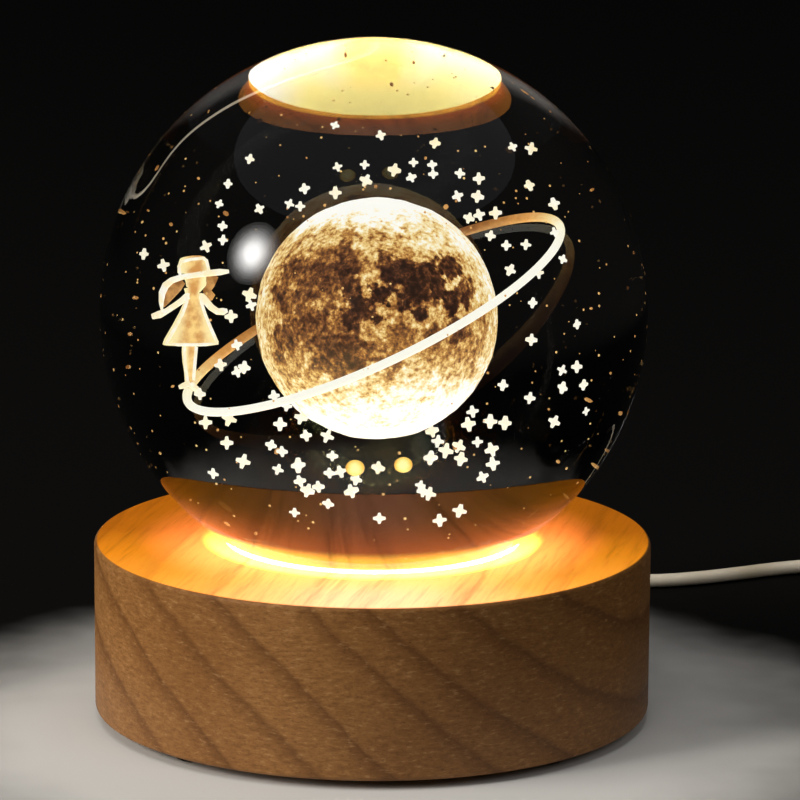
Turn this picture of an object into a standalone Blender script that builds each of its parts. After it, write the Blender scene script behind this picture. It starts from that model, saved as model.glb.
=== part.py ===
"""A crystal ball lamp: a solid glass ball on a round wooden base with an LED module inside,
fed by a USB lead with a rocker switch. Metres, +Z up. The origin is under the middle of the
base, on the table. The lead leaves the back of the base, towards +Y."""

import math

import bmesh
import bpy
from mathutils import Euler, Matrix, Vector

# Gaps and overruns that all pieces share
CLEARANCE = 0.0003
OVERRUN = 0.0010
MERGE_DISTANCE = 0.00001

# Crystal ball
BALL_RADIUS = 0.0400
BALL_SINK = 0.0061

# Engraving, which the ball encloses: a moon and a ring round it, with a figure on its end
MOON_RADIUS = 0.0116
MOON_X = 0.0003
MOON_DROP = 0.0007
RING_RADIUS = 0.01974
RING_THICKNESS = 0.0012
RING_TILT = math.radians(24.9)
RING_NOD = math.radians(3.2)
RING_X = 0.00055
RING_DROP = 0.0014
FIGURE_TURN = math.radians(160)
FIGURE_HEIGHT = 0.0128
FIGURE_RADIUS = 0.0034
FIGURE_ARM_DIAMETER = 0.0008
DUCT_RADIUS = 0.0005
# The figure from its hat's top down, as shares of its radius and of its height, and its arms
# from hand to hand, as shares of its height
FIGURE_SHARES = [
    (0.0, 1.0), (0.33, 1.0), (0.43, 0.967), (0.43, 0.857), (1.0, 0.838), (1.0, 0.815),
    (0.28, 0.832), (0.29, 0.766), (0.20, 0.71), (0.13, 0.695), (0.24, 0.673), (0.25, 0.594),
    (0.80, 0.359), (0.80, 0.344), (0.19, 0.344), (0.17, 0.075), (0.26, 0.055), (0.26, 0.0),
    (0.0, 0.0),
]
ARM_SHARES = [
    (-0.35, 0.509), (-0.18, 0.570), (-0.03, 0.655), (0.03, 0.655), (0.18, 0.570), (0.29, 0.548),
]

# Foot pads
PAD_COUNT = 4
PAD_RADIUS = 0.0032
PAD_THICKNESS = 0.0010
PAD_EDGE = 0.0002
PAD_INSET = 0.0060

# Wooden base
BASE_RADIUS = 0.0410
BASE_HEIGHT = 0.0252
BASE_EDGE_ROUND = 0.0007
WELL_RADIUS = 0.0130
POCKET_RADIUS = 0.0250
POCKET_DEPTH = 0.0116

# Bottom cover and its countersunk screws
COVER_RADIUS = 0.0310
COVER_THICKNESS = 0.0020
COVER_EDGE = 0.0003
COVER_SCREW_COUNT = 4
COVER_SCREW_CIRCLE_RADIUS = 0.0280
COVER_SCREW_HEAD_RADIUS = 0.0019
COVER_SCREW_HEAD_HEIGHT = 0.0011
COVER_SCREW_SHANK_RADIUS = 0.0009
COVER_SCREW_LENGTH = 0.0080

# Lamp cup, which holds the window over the LED board
CUP_FLANGE_RADIUS = 0.0175
CUP_FLANGE_THICKNESS = 0.0015
CUP_RISE = 0.0030
CUP_BORE_RADIUS = 0.0095
CUP_SCREW_COUNT = 3
CUP_SCREW_CIRCLE_RADIUS = 0.0152
CUP_SCREW_HEAD_RADIUS = 0.0018
CUP_SCREW_HEAD_HEIGHT = 0.0012
CUP_SCREW_SHANK_RADIUS = 0.0009
CUP_SCREW_LENGTH = 0.0080

# Light window
WINDOW_RADIUS = 0.0109
WINDOW_THICKNESS = 0.0015

# LED board
BOARD_RADIUS = 0.0128
BOARD_THICKNESS = 0.0012
BOARD_SCREW_COUNT = 2
BOARD_SCREW_CIRCLE_RADIUS = 0.0111
BOARD_SCREW_HEAD_RADIUS = 0.0015
BOARD_SCREW_HEAD_HEIGHT = 0.0009
BOARD_SCREW_SHANK_RADIUS = 0.0006
BOARD_SCREW_LENGTH = 0.0033
LED_COUNT = 6
LED_CIRCLE_RADIUS = 0.0060
LED_LENGTH = 0.0035
LED_WIDTH = 0.0028
LED_HEIGHT = 0.0008
RESISTOR_LENGTH = 0.0032
RESISTOR_WIDTH = 0.0016
RESISTOR_HEIGHT = 0.0006

# Lead: the cord and where it leaves the base
CORD_DIAMETER = 0.0022
CORD_HEIGHT = 0.0090
CORD_POINT_STEP = 0.0050
CORD_INNER_END_Y = 0.0172
WIRE_DIAMETER = 0.0009
WIRE_POINT_STEP = 0.0022
WIRE_SPACING = 0.0011
BUSH_RADIUS = 0.0025
BUSH_COLLAR_RADIUS = 0.0036
BUSH_COLLAR_THICKNESS = 0.0012
BUSH_COLLAR_GAP = 0.0006
BUSH_RECESS = 0.0004

# Cord clamp
CLAMP_LENGTH = 0.0130
CLAMP_WIDTH = 0.0036
CLAMP_FLOOR = 0.0012
CLAMP_Y = 0.0200
CLAMP_SCREW_SPACING = 0.0086
CLAMP_SCREW_HEAD_RADIUS = 0.0016
CLAMP_SCREW_HEAD_HEIGHT = 0.0010
CLAMP_SCREW_SHANK_RADIUS = 0.0008
CLAMP_SCREW_LENGTH = 0.0110

# Rocker switch on the lead
SWITCH_X = 0.0860
SWITCH_Y = 0.0430
SWITCH_LENGTH = 0.0340
SWITCH_WIDTH = 0.0135
SWITCH_HEIGHT = 0.0094
SWITCH_CORNER_RADIUS = 0.0042
SWITCH_EDGE_ROUND = 0.0012
SWITCH_WALL = 0.0012
SWITCH_BOSS_RADIUS = 0.0017
SWITCH_SCREW_X = 0.0118
SWITCH_SCREW_Y = 0.0034
SWITCH_SCREW_HEAD_RADIUS = 0.0011
SWITCH_SCREW_HEAD_HEIGHT = 0.0008
SWITCH_SCREW_SHANK_RADIUS = 0.0005
SWITCH_SCREW_LENGTH = 0.0058
ROCKER_TILT = math.radians(10)
ROCKER_LENGTH = 0.0092
ROCKER_WIDTH = 0.0052
ROCKER_RISE = 0.0027
ROCKER_DIP = 0.0007
ROCKER_DROP = 0.0021
ROCKER_KEEL_LENGTH = 0.0026
ROCKER_SIDE_DROP = 0.0006
PIVOT_BELOW_TOP = 0.0022
PIVOT_RADIUS = 0.0007
CHEEK_THICKNESS = 0.0012
CHEEK_LENGTH = 0.0038
CHEEK_BELOW_PIVOT = 0.0013
WINDOW_MARGIN = 0.0007
CONTACT_THICKNESS = 0.0005
CONTACT_WIDTH = 0.0030
CONTACT_END_X = 0.0100
CONTACT_TIP_X = 0.0036
CONTACT_POST_HEIGHT = 0.0024
BRIDGE_LENGTH = 0.0088
BRIDGE_THICKNESS = 0.0004
RELIEF_FLANGE_RADIUS = 0.0031
RELIEF_FLANGE_THICKNESS = 0.0012
RELIEF_NECK_RADIUS = 0.0022
RELIEF_ROOT_RADIUS = 0.0030
RELIEF_TIP_RADIUS = 0.0021
RELIEF_TAIL_LENGTH = 0.0060
RELIEF_RIB_COUNT = 4
RELIEF_GROOVE_DEPTH = 0.0004
# Where a rib ends and its groove runs, as shares of the ribs' pitch and of the groove's depth
RELIEF_RIB_SHARES = [(0.0, 0.0), (0.5, 0.0), (0.6, 1.0), (0.9, 1.0)]
CORD_IN_SWITCH = 0.0010

# USB plug
PLUG_Y = 0.0150
PLUG_BODY_LENGTH = 0.0180
PLUG_BODY_WIDTH = 0.0156
PLUG_BODY_HEIGHT = 0.0080
PLUG_BODY_ROUND = 0.0016
PLUG_TAIL_LENGTH = 0.0080
PLUG_TAIL_ROOT_RADIUS = 0.0034
PLUG_TAIL_TIP_RADIUS = 0.0022
PLUG_TAIL_OVERLAP = 0.0030
PLUG_CORD_DEPTH = 0.0110
PLUG_SHELL_LENGTH = 0.0152
PLUG_SHELL_DEPTH = 0.0035
PLUG_SHELL_WIDTH = 0.0120
PLUG_SHELL_HEIGHT = 0.0045
PLUG_SHELL_WALL = 0.0004
PLUG_WINDOW_SIZE = 0.0024
PLUG_WINDOW_SPACING = 0.0052
PLUG_WINDOW_FROM_TIP = 0.0052
TONGUE_THICKNESS = 0.0014
TONGUE_SHORT = 0.0006
PIN_COUNT = 4
PIN_WIDTH = 0.0010
PIN_THICKNESS = 0.0003
PIN_LENGTH = 0.0080
PIN_SPACING = 0.0023

# Coil of the lead that is put away, and its tie
COIL_X = 0.0865
COIL_Y = -0.0140
COIL_OUTER_RADIUS = 0.0168
COIL_TURNS = 13.5
COIL_LAYERS = 4
COIL_GAP = 0.00045
COIL_CLIMB_TURNS = 0.5
COIL_POINTS_PER_LOOP = 24
TIE_WIDTH = 0.0050
TIE_THICKNESS = 0.0006

# Route of the cord from the base to the switch, lying on the table
ROUTE_TO_SWITCH = [
    (0.0000, 0.0470, 0.0090),
    (0.0006, 0.0545, 0.0078),
    (0.0035, 0.0625, 0.0048),
    (0.0110, 0.0690, 0.0022),
    (0.0215, 0.0718, 0.0013),
    (0.0335, 0.0719, 0.0012),
    (0.0456, 0.0723, 0.0012),
    (0.0531, 0.0744, 0.0012),
    (0.0600, 0.0776, 0.0012),
    (0.0667, 0.0809, 0.0012),
    (0.0735, 0.0826, 0.0014),
    (0.0800, 0.0812, 0.0021),
    (0.0846, 0.0764, 0.0033),
    (0.0860, 0.0708, 0.0043),
]
# Route from the switch to the coil
ROUTE_TO_COIL = [
    (0.0858, 0.0150, 0.0045),
    (0.0845, 0.0110, 0.0041),
    (0.0818, 0.0080, 0.0037),
    (0.0778, 0.0062, 0.0033),
    (0.0742, 0.0040, 0.0029),
    (0.0714, 0.0004, 0.0025),
    (0.0700, -0.0040, 0.0022),
]
# Route from the coil to the plug
ROUTE_TO_PLUG = [
    (0.1033, -0.0070, 0.0092),
    (0.1033, -0.0010, 0.0072),
    (0.1033, 0.0050, 0.0052),
    (0.1033, 0.0100, 0.0043),
]

# Wires from the inner end of the cord up to the board
BOARD_JOINT_X = 0.0025
BOARD_JOINT_Y = 0.0080
BOARD_WIRE_SAG = 0.0008
BOARD_WIRE_LEG = 0.0016

# Wires inside the switch: the way down to a terminal, as shares of its length and its drop, and
# the way past the rocker, as shares of the wire's reach, its offset and its dip
THROUGH_WIRE_MARGIN = 0.0005
THROUGH_WIRE_DIP = 0.0013
TERMINAL_SHARES = [(0.23, 0.26), (0.44, 0.72)]
THROUGH_SHARES = [
    (-0.83, 0.52, 0.31),
    (-0.58, 0.91, 0.85),
    (-0.23, 1.00, 1.00),
    (0.23, 1.00, 1.00),
    (0.50, 0.74, 0.69),
    (0.73, 0.22, 0.23),
]

# Facets round each kind of piece
BALL_SEGMENTS, BALL_RINGS = 48, 24
MOON_SEGMENTS, MOON_RINGS = 28, 14
RING_SEGMENTS, RING_SIDES = 48, 8
FIGURE_SEGMENTS = 12
LARGE_SEGMENTS = 60
CUP_SEGMENTS = 36
SMALL_SEGMENTS = 16
SCREW_SEGMENTS = 12
EDGE_STEPS = 3
FINE_EDGE_STEPS = 1
SEAT_STEPS = 6
CORD_BEVEL_RESOLUTION = 2
COIL_BEVEL_RESOLUTION = 1

# Colours as sRGB, with roughness and metallic
FINISHES = {
    "glass": ((0.95, 0.97, 0.98), 0.0, 0.0),
    "engraving": ((0.98, 0.93, 0.80), 0.80, 0.0),
    "beech_wood": ((0.76, 0.57, 0.36), 0.55, 0.0),
    "black_rubber": ((0.06, 0.06, 0.06), 0.80, 0.0),
    "black_plastic": ((0.08, 0.08, 0.08), 0.55, 0.0),
    "steel": ((0.72, 0.72, 0.73), 0.30, 1.0),
    "nickel": ((0.78, 0.77, 0.74), 0.25, 1.0),
    "brass": ((0.80, 0.66, 0.35), 0.30, 1.0),
    "gold": ((0.90, 0.72, 0.38), 0.25, 1.0),
    "white_plastic": ((0.92, 0.92, 0.90), 0.40, 0.0),
    "frosted_plastic": ((0.96, 0.93, 0.84), 0.60, 0.0),
    "white_board": ((0.88, 0.89, 0.87), 0.50, 0.0),
    "led_yellow": ((0.93, 0.80, 0.38), 0.35, 0.0),
    "cream_cord": ((0.90, 0.87, 0.80), 0.50, 0.0),
    "cream_plastic": ((0.92, 0.90, 0.84), 0.40, 0.0),
    "red_wire": ((0.70, 0.08, 0.06), 0.50, 0.0),
    "black_wire": ((0.06, 0.06, 0.07), 0.50, 0.0),
}
SMOOTH_BELOW = math.radians(40)
EDGE_ANGLE = math.radians(60)

# Heights and sizes that follow from the driving dimensions
CORD_RADIUS = CORD_DIAMETER / 2
WIRE_RADIUS = WIRE_DIAMETER / 2
BASE_BOTTOM = PAD_THICKNESS + CLEARANCE
BASE_TOP = BASE_BOTTOM + BASE_HEIGHT
BALL_HEIGHT = BASE_TOP + BALL_RADIUS - BALL_SINK
SEAT_RADIUS = BALL_RADIUS + CLEARANCE
PAD_CIRCLE_RADIUS = BASE_RADIUS - PAD_INSET
POCKET_CEILING = BASE_BOTTOM + POCKET_DEPTH
REBATE_RADIUS = COVER_RADIUS + CLEARANCE
REBATE_CEILING = BASE_BOTTOM + COVER_THICKNESS + CLEARANCE
CUP_OUTER_RADIUS = WELL_RADIUS - CLEARANCE
CUP_FLANGE_TOP = POCKET_CEILING - CLEARANCE
CUP_FLANGE_BOTTOM = CUP_FLANGE_TOP - CUP_FLANGE_THICKNESS
CUP_TOP = CUP_FLANGE_TOP + CUP_RISE
WINDOW_BOTTOM = CUP_TOP - WINDOW_THICKNESS
BOARD_TOP = CUP_FLANGE_BOTTOM - CLEARANCE
BOARD_BOTTOM = BOARD_TOP - BOARD_THICKNESS
BUSH_OUTER_END = BASE_RADIUS - BUSH_RECESS
BUSH_COLLAR_FACE = POCKET_RADIUS - BUSH_COLLAR_GAP
CORD_EXIT_Y = BUSH_OUTER_END + CLEARANCE
CLAMP_TOP = POCKET_CEILING - CLEARANCE
CLAMP_SLOT_RADIUS = CORD_RADIUS + CLEARANCE
CLAMP_BOTTOM = CORD_HEIGHT - CLAMP_SLOT_RADIUS - CLAMP_FLOOR
SWITCH_MIDDLE = SWITCH_HEIGHT / 2
CAVITY_LENGTH = SWITCH_LENGTH - 2 * SWITCH_WALL
CAVITY_WIDTH = SWITCH_WIDTH - 2 * SWITCH_WALL
CAVITY_HEIGHT = SWITCH_HEIGHT - 2 * SWITCH_WALL
PIVOT_HEIGHT = SWITCH_HEIGHT - PIVOT_BELOW_TOP
RELIEF_TIP_X = SWITCH_LENGTH / 2 + RELIEF_TAIL_LENGTH
SWITCH_CORD_END_X = CAVITY_LENGTH / 2 - CLEARANCE - RELIEF_FLANGE_THICKNESS - CORD_IN_SWITCH
PLUG_X = COIL_X + COIL_OUTER_RADIUS
PLUG_HEIGHT = PLUG_BODY_HEIGHT / 2
PLUG_BODY_START = PLUG_TAIL_LENGTH
PLUG_BODY_END = PLUG_TAIL_LENGTH + PLUG_BODY_LENGTH
COIL_PITCH = CORD_DIAMETER + COIL_GAP
COIL_TURNS_PER_LAYER = COIL_TURNS / COIL_LAYERS
COIL_INNER_RADIUS = COIL_OUTER_RADIUS - COIL_TURNS_PER_LAYER * COIL_PITCH
COIL_BOTTOM = TIE_THICKNESS + CLEARANCE
COIL_FIRST_HEIGHT = COIL_BOTTOM + CORD_RADIUS
COIL_LAST_HEIGHT = COIL_FIRST_HEIGHT + (COIL_LAYERS - 1) * COIL_PITCH
COIL_START_ANGLE = math.pi

parts = None
cutters = None


def clear_scene():
    for obj in list(bpy.data.objects):
        bpy.data.objects.remove(obj, do_unlink=True)


def new_collection(name):
    collection = bpy.data.collections.new(name)
    bpy.context.scene.collection.children.link(collection)
    return collection


def to_linear(channel):
    return channel / 12.92 if channel <= 0.04045 else ((channel + 0.055) / 1.055) ** 2.4


def finish(name):
    """The material of that name, made the first time that it is asked for."""
    found = bpy.data.materials.get(name)
    if found:
        return found
    colour, roughness, metallic = FINISHES[name]
    made = bpy.data.materials.new(name)
    made.use_nodes = True
    made.diffuse_color = (*[to_linear(c) for c in colour], 1)
    shader = made.node_tree.nodes["Principled BSDF"]
    shader.inputs["Base Color"].default_value = made.diffuse_color
    shader.inputs["Roughness"].default_value = roughness
    shader.inputs["Metallic"].default_value = metallic
    return made


def add_object(name, data, collection=None):
    obj = bpy.data.objects.new(name, data)
    (collection or parts).objects.link(obj)
    return obj


def as_cutter(obj):
    """Keeps the object out of the render and among the cutters."""
    for collection in list(obj.users_collection):
        collection.objects.unlink(obj)
    cutters.objects.link(obj)
    obj.hide_render = True
    obj.display_type = "WIRE"
    return obj


def combine(obj, other, operation="DIFFERENCE"):
    """Cuts the other object from this one, joins it on, or keeps what they share."""
    modifier = obj.modifiers.new(other.name, "BOOLEAN")
    modifier.object = other
    modifier.operation = operation
    modifier.solver = "EXACT"
    return obj


def evaluated_mesh(obj):
    graph = bpy.context.evaluated_depsgraph_get()
    graph.update()
    return bpy.data.meshes.new_from_object(obj.evaluated_get(graph))


def complete(obj, material_name, parent=None):
    """Applies the modifiers, shades the round faces smooth and gives the piece its finish."""
    obj.data = evaluated_mesh(obj)
    obj.data.name = obj.name
    obj.modifiers.clear()
    obj.data.shade_smooth()
    obj.data.set_sharp_from_angle(angle=SMOOTH_BELOW)
    obj.data.materials.clear()
    obj.data.materials.append(finish(material_name))
    obj.parent = parent
    return obj


def turned(name, profile, segments):
    """A solid turned about its own Z. The profile's (radius, height) points run from the top
    down the outer side. It ends on the axis, or closes on itself where it makes a ring."""
    last = len(profile) - 1
    edges = [(i, i + 1) for i in range(last)]
    if profile[0][0] > 0:
        edges.append((last, 0))
    mesh = bpy.data.meshes.new(name)
    mesh.from_pydata([(radius, 0, height) for radius, height in profile], edges, [])
    obj = add_object(name, mesh)
    screw = obj.modifiers.new("Turn", "SCREW")
    screw.steps = segments
    screw.render_steps = segments
    screw.use_merge_vertices = True
    screw.merge_threshold = MERGE_DISTANCE
    return obj


def arc(centre_radius, centre_height, radius, first, last, steps):
    """Points of an arc in a turned profile, by angles from the outward direction."""
    angles = [first + (last - first) * i / steps for i in range(steps + 1)]
    return [
        (centre_radius + radius * math.cos(a), centre_height + radius * math.sin(a))
        for a in angles
    ]


def rounded_rim(radius, bottom, top, edge, steps):
    """The outer side of a turned disc, top to bottom, with both edges rounded."""
    right_angle = math.pi / 2
    return arc(radius - edge, top - edge, edge, right_angle, 0, steps) + arc(
        radius - edge, bottom + edge, edge, 0, -right_angle, steps
    )


def disc(name, radius, bottom, top, edge, segments):
    rim = rounded_rim(radius, bottom, top, edge, FINE_EDGE_STEPS)
    return turned(name, [(0, top), *rim, (0, bottom)], segments)


def upright_cylinder(name, radius, bottom, top, x, y):
    """An upright cylinder that is cut out or joined on, turned half a facet to keep its corners
    off the edges of what it meets."""
    segments = SCREW_SEGMENTS
    obj = turned(name, [(0, top), (radius, top), (radius, bottom), (0, bottom)], segments)
    obj.location = (x, y, 0)
    obj.rotation_euler = (0, 0, math.pi / segments)
    return as_cutter(obj)


def block(name, size, centre, edge=0):
    """A box, with all its edges rounded where an edge radius is given."""
    mesh = bpy.data.meshes.new(name)
    shape = bmesh.new()
    bmesh.ops.create_cube(shape, size=1, matrix=Matrix.Diagonal((*size, 1)))
    bmesh.ops.translate(shape, verts=shape.verts, vec=centre)
    shape.to_mesh(mesh)
    shape.free()
    obj = add_object(name, mesh)
    if edge:
        bevel = obj.modifiers.new("Round", "BEVEL")
        bevel.width = edge
        bevel.segments = EDGE_STEPS
        bevel.limit_method = "NONE"
    return obj


def plate(name, outline, thickness):
    """A flat outline in XY, filled, of that thickness about z = 0, as a mesh."""
    curve = bpy.data.curves.new(name, "CURVE")
    curve.dimensions = "2D"
    curve.fill_mode = "BOTH"
    curve.extrude = thickness / 2
    spline = curve.splines.new("POLY")
    spline.points.add(len(outline) - 1)
    for point, (x, y) in zip(spline.points, outline, strict=True):
        point.co = (x, y, 0, 1)
    spline.use_cyclic_u = True
    drawn = add_object(name + "_outline", curve)
    mesh = evaluated_mesh(drawn)
    bpy.data.objects.remove(drawn, do_unlink=True)
    shape = bmesh.new()
    shape.from_mesh(mesh)
    bmesh.ops.remove_doubles(shape, verts=shape.verts, dist=MERGE_DISTANCE)
    bmesh.ops.recalc_face_normals(shape, faces=shape.faces)
    shape.to_mesh(mesh)
    shape.free()
    return add_object(name, mesh)


def rounded_outline(length, width, radius):
    """A rectangle with round corners about the origin."""
    points = []
    for quarter, (along, across) in enumerate([(1, 1), (-1, 1), (-1, -1), (1, -1)]):
        x = along * (length / 2 - radius)
        y = across * (width / 2 - radius)
        for step in range(EDGE_STEPS + 1):
            angle = (quarter + step / EDGE_STEPS) * math.pi / 2
            points.append((x + radius * math.cos(angle), y + radius * math.sin(angle)))
    return points


def smooth_route(points, step):
    """Points an even step apart on a smooth curve through the given ones, ends included."""
    points = [Vector(p) for p in points]
    padded = [2 * points[0] - points[1], *points, 2 * points[-1] - points[-2]]
    fine = []
    samples = 16
    for before, here, there, after in zip(padded, padded[1:], padded[2:], padded[3:], strict=False):
        for i in range(samples):
            t = i / samples
            fine.append(
                0.5
                * (
                    2 * here
                    + (there - before) * t
                    + (2 * before - 5 * here + 4 * there - after) * t**2
                    + (3 * here - before - 3 * there + after) * t**3
                )
            )
    fine.append(points[-1])
    lengths = [0]
    for a, b in zip(fine, fine[1:], strict=False):
        lengths.append(lengths[-1] + (b - a).length)
    count = max(2, round(lengths[-1] / step))
    route, k = [], 0
    for i in range(count + 1):
        wanted = lengths[-1] * i / count
        while k < len(fine) - 2 and lengths[k + 1] < wanted:
            k += 1
        share = (wanted - lengths[k]) / max(lengths[k + 1] - lengths[k], MERGE_DISTANCE**2)
        route.append(fine[k].lerp(fine[k + 1], share))
    return route


def length_of(route):
    return sum((Vector(b) - Vector(a)).length for a, b in zip(route, route[1:], strict=False))


def tube(name, route, diameter, material_name, resolution=CORD_BEVEL_RESOLUTION, parent=None):
    """A round tube along the route, with closed ends."""
    curve = bpy.data.curves.new(name, "CURVE")
    curve.dimensions = "3D"
    curve.bevel_depth = diameter / 2
    curve.bevel_resolution = resolution
    curve.use_fill_caps = True
    curve.twist_mode = "MINIMUM"
    spline = curve.splines.new("POLY")
    spline.points.add(len(route) - 1)
    for point, place in zip(spline.points, route, strict=True):
        point.co = (*place, 1)
    curve.materials.append(finish(material_name))
    obj = add_object(name, curve)
    obj.parent = parent
    return obj


def around(count, radius, first=0.0):
    """Places evenly spread on a circle."""
    for i in range(count):
        angle = first + 2 * math.pi * i / count
        yield i + 1, radius * math.cos(angle), radius * math.sin(angle)


def screw_piece(name, place, head_radius, head_height, shank_radius, length, sunk=False):
    """A screw that goes in upwards from the place of its head's bearing face, or for a sunk
    head of its flat face. The length is the shank's."""
    if sunk:
        profile = [(shank_radius, head_height), (head_radius, 0), (0, 0)]
    else:
        side = head_height / 2
        profile = [
            (shank_radius, 0),
            (head_radius, 0),
            (head_radius, -side),
            (head_radius - side, -head_height),
            (0, -head_height),
        ]
    shank = [(0, length), (shank_radius, length - shank_radius)]
    obj = turned(name, shank + profile, SCREW_SEGMENTS)
    obj.location = place
    return complete(obj, "steel")


def sphere(name, radius, segments, rings):
    mesh = bpy.data.meshes.new(name)
    shape = bmesh.new()
    bmesh.ops.create_uvsphere(shape, u_segments=segments, v_segments=rings, radius=radius)
    shape.to_mesh(mesh)
    shape.free()
    return add_object(name, mesh)


def swell(obj, gap):
    """Moves every face of the object outwards by at least the gap, with square corners too."""
    displace = obj.modifiers.new("Swell", "DISPLACE")
    displace.strength = gap * math.sqrt(2)
    displace.mid_level = 0


def moon_shape(name, gap=0):
    moon = sphere(name, MOON_RADIUS + gap, MOON_SEGMENTS, MOON_RINGS)
    moon.location = (MOON_X, 0, BALL_HEIGHT - MOON_DROP)
    return moon


def ring_place(turn):
    """The point of the ring's middle line that lies a turn on from its upper end."""
    place = Vector((RING_RADIUS * math.cos(turn), RING_RADIUS * math.sin(turn), 0))
    place.rotate(Euler((RING_NOD, -RING_TILT, 0)))
    return place + Vector((RING_X, 0, BALL_HEIGHT - RING_DROP))


def ring_shape(name, gap=0):
    """The ring and the figure in a hat and a dress that stands near its lower end. The figure is
    one turned body with arms, its feet sunk to the middle of the ring."""
    quarter = math.pi / 2
    section = arc(RING_RADIUS, 0, RING_THICKNESS / 2 + gap, quarter, -3 * quarter, RING_SIDES)
    ring = turned(name, section[:-1], RING_SEGMENTS)
    ring.rotation_euler = (RING_NOD, -RING_TILT, 0)
    ring.location = (RING_X, 0, BALL_HEIGHT - RING_DROP)
    profile = [(FIGURE_RADIUS * out, FIGURE_HEIGHT * up) for out, up in FIGURE_SHARES]
    figure = turned(name + "_figure", profile, FIGURE_SEGMENTS)
    route = [(FIGURE_HEIGHT * across, 0, FIGURE_HEIGHT * up) for across, up in ARM_SHARES]
    drawn = tube(name + "_route", route, FIGURE_ARM_DIAMETER, "engraving", COIL_BEVEL_RESOLUTION)
    arms = add_object(name + "_arms", evaluated_mesh(drawn))
    bpy.data.objects.remove(drawn, do_unlink=True)
    arms.modifiers.new("Close ends", "WELD").merge_threshold = MERGE_DISTANCE
    for piece in (figure, arms):
        piece.location = ring_place(FIGURE_TURN)
        if gap:
            swell(piece, gap)
        combine(ring, as_cutter(piece), "UNION")
    return ring


def duct(name, start, end, turn, x, height):
    """A fine round way from start to end along a line that leans from upright towards +X,
    turned half a facet to keep its corners off the edges of what it meets."""
    profile = [(0, end), (DUCT_RADIUS, end), (DUCT_RADIUS, start), (0, start)]
    obj = turned(name, profile, FIGURE_SEGMENTS)
    obj.data.transform(Matrix.Rotation(math.pi / FIGURE_SEGMENTS, 4, "Z"))
    obj.rotation_euler = (0, turn, 0)
    obj.location = (x, 0, height)
    return as_cutter(obj)


def make_ball():
    """The glass ball with a hollow that fits its engraving. A closed body can't hold a sealed
    hollow, so one fine duct opens it under the ball and one joins the ring's hollow to it."""
    ball = sphere("crystal_ball", BALL_RADIUS, BALL_SEGMENTS, BALL_RINGS)
    ball.location = (0, 0, BALL_HEIGHT)
    engraved = {"moon": moon_shape, "ring": ring_shape}
    for name, shape in engraved.items():
        combine(ball, as_cutter(shape(name + "_hollow", CLEARANCE)))
    to_moon = MOON_DROP + MOON_RADIUS - OVERRUN
    combine(
        ball, duct("moon_duct", -BALL_RADIUS - OVERRUN, -to_moon, 0, MOON_X, BALL_HEIGHT)
    )
    lean = math.pi / 2 - RING_TILT
    ring_height = BALL_HEIGHT - RING_DROP
    combine(
        ball, duct("ring_duct", MOON_RADIUS - OVERRUN, RING_RADIUS, lean, RING_X, ring_height)
    )
    complete(ball, "glass")
    for name, shape in engraved.items():
        complete(shape("engraved_" + name), "engraving")


def make_foot_pads():
    for number, x, y in around(PAD_COUNT, PAD_CIRCLE_RADIUS, math.pi / PAD_COUNT):
        pad = disc(
            f"foot_pad_{number}", PAD_RADIUS, 0, PAD_THICKNESS, PAD_EDGE, SMALL_SEGMENTS
        )
        pad.location = (x, y, 0)
        complete(pad, "black_rubber")


def cover_screw_places():
    return around(COVER_SCREW_COUNT, COVER_SCREW_CIRCLE_RADIUS, math.pi / COVER_SCREW_COUNT)


def cup_screw_places():
    return around(CUP_SCREW_COUNT, CUP_SCREW_CIRCLE_RADIUS, -math.pi / 2)


def board_screw_places():
    return around(BOARD_SCREW_COUNT, BOARD_SCREW_CIRCLE_RADIUS)


def clamp_screw_places():
    return [(i + 1, side * CLAMP_SCREW_SPACING / 2, CLAMP_Y) for i, side in enumerate((-1, 1))]


def base_profile():
    """The wooden base's section: the ball's seat, the light well, the pocket and the rebate."""
    seat_rim = -math.acos((BALL_HEIGHT - BASE_TOP) / SEAT_RADIUS) + math.pi / 2
    seat_foot = -math.asin(WELL_RADIUS / SEAT_RADIUS) + math.pi / 2
    seat = arc(0, BALL_HEIGHT, SEAT_RADIUS, -seat_foot, -seat_rim, SEAT_STEPS)
    return [
        *rounded_rim(BASE_RADIUS, BASE_BOTTOM, BASE_TOP, BASE_EDGE_ROUND, EDGE_STEPS),
        (REBATE_RADIUS, BASE_BOTTOM),
        (REBATE_RADIUS, REBATE_CEILING),
        (POCKET_RADIUS, REBATE_CEILING),
        (POCKET_RADIUS, POCKET_CEILING),
        (WELL_RADIUS, POCKET_CEILING),
        *seat,
    ]


def cord_hole_drill(name, radius, inner, outer):
    """A cutting cylinder along Y at the height of the cord."""
    obj = turned(
        name, [(0, outer), (radius, outer), (radius, inner), (0, inner)], SMALL_SEGMENTS
    )
    obj.rotation_euler = (-math.pi / 2, 0, 0)
    obj.location = (0, 0, CORD_HEIGHT)
    return as_cutter(obj)


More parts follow.
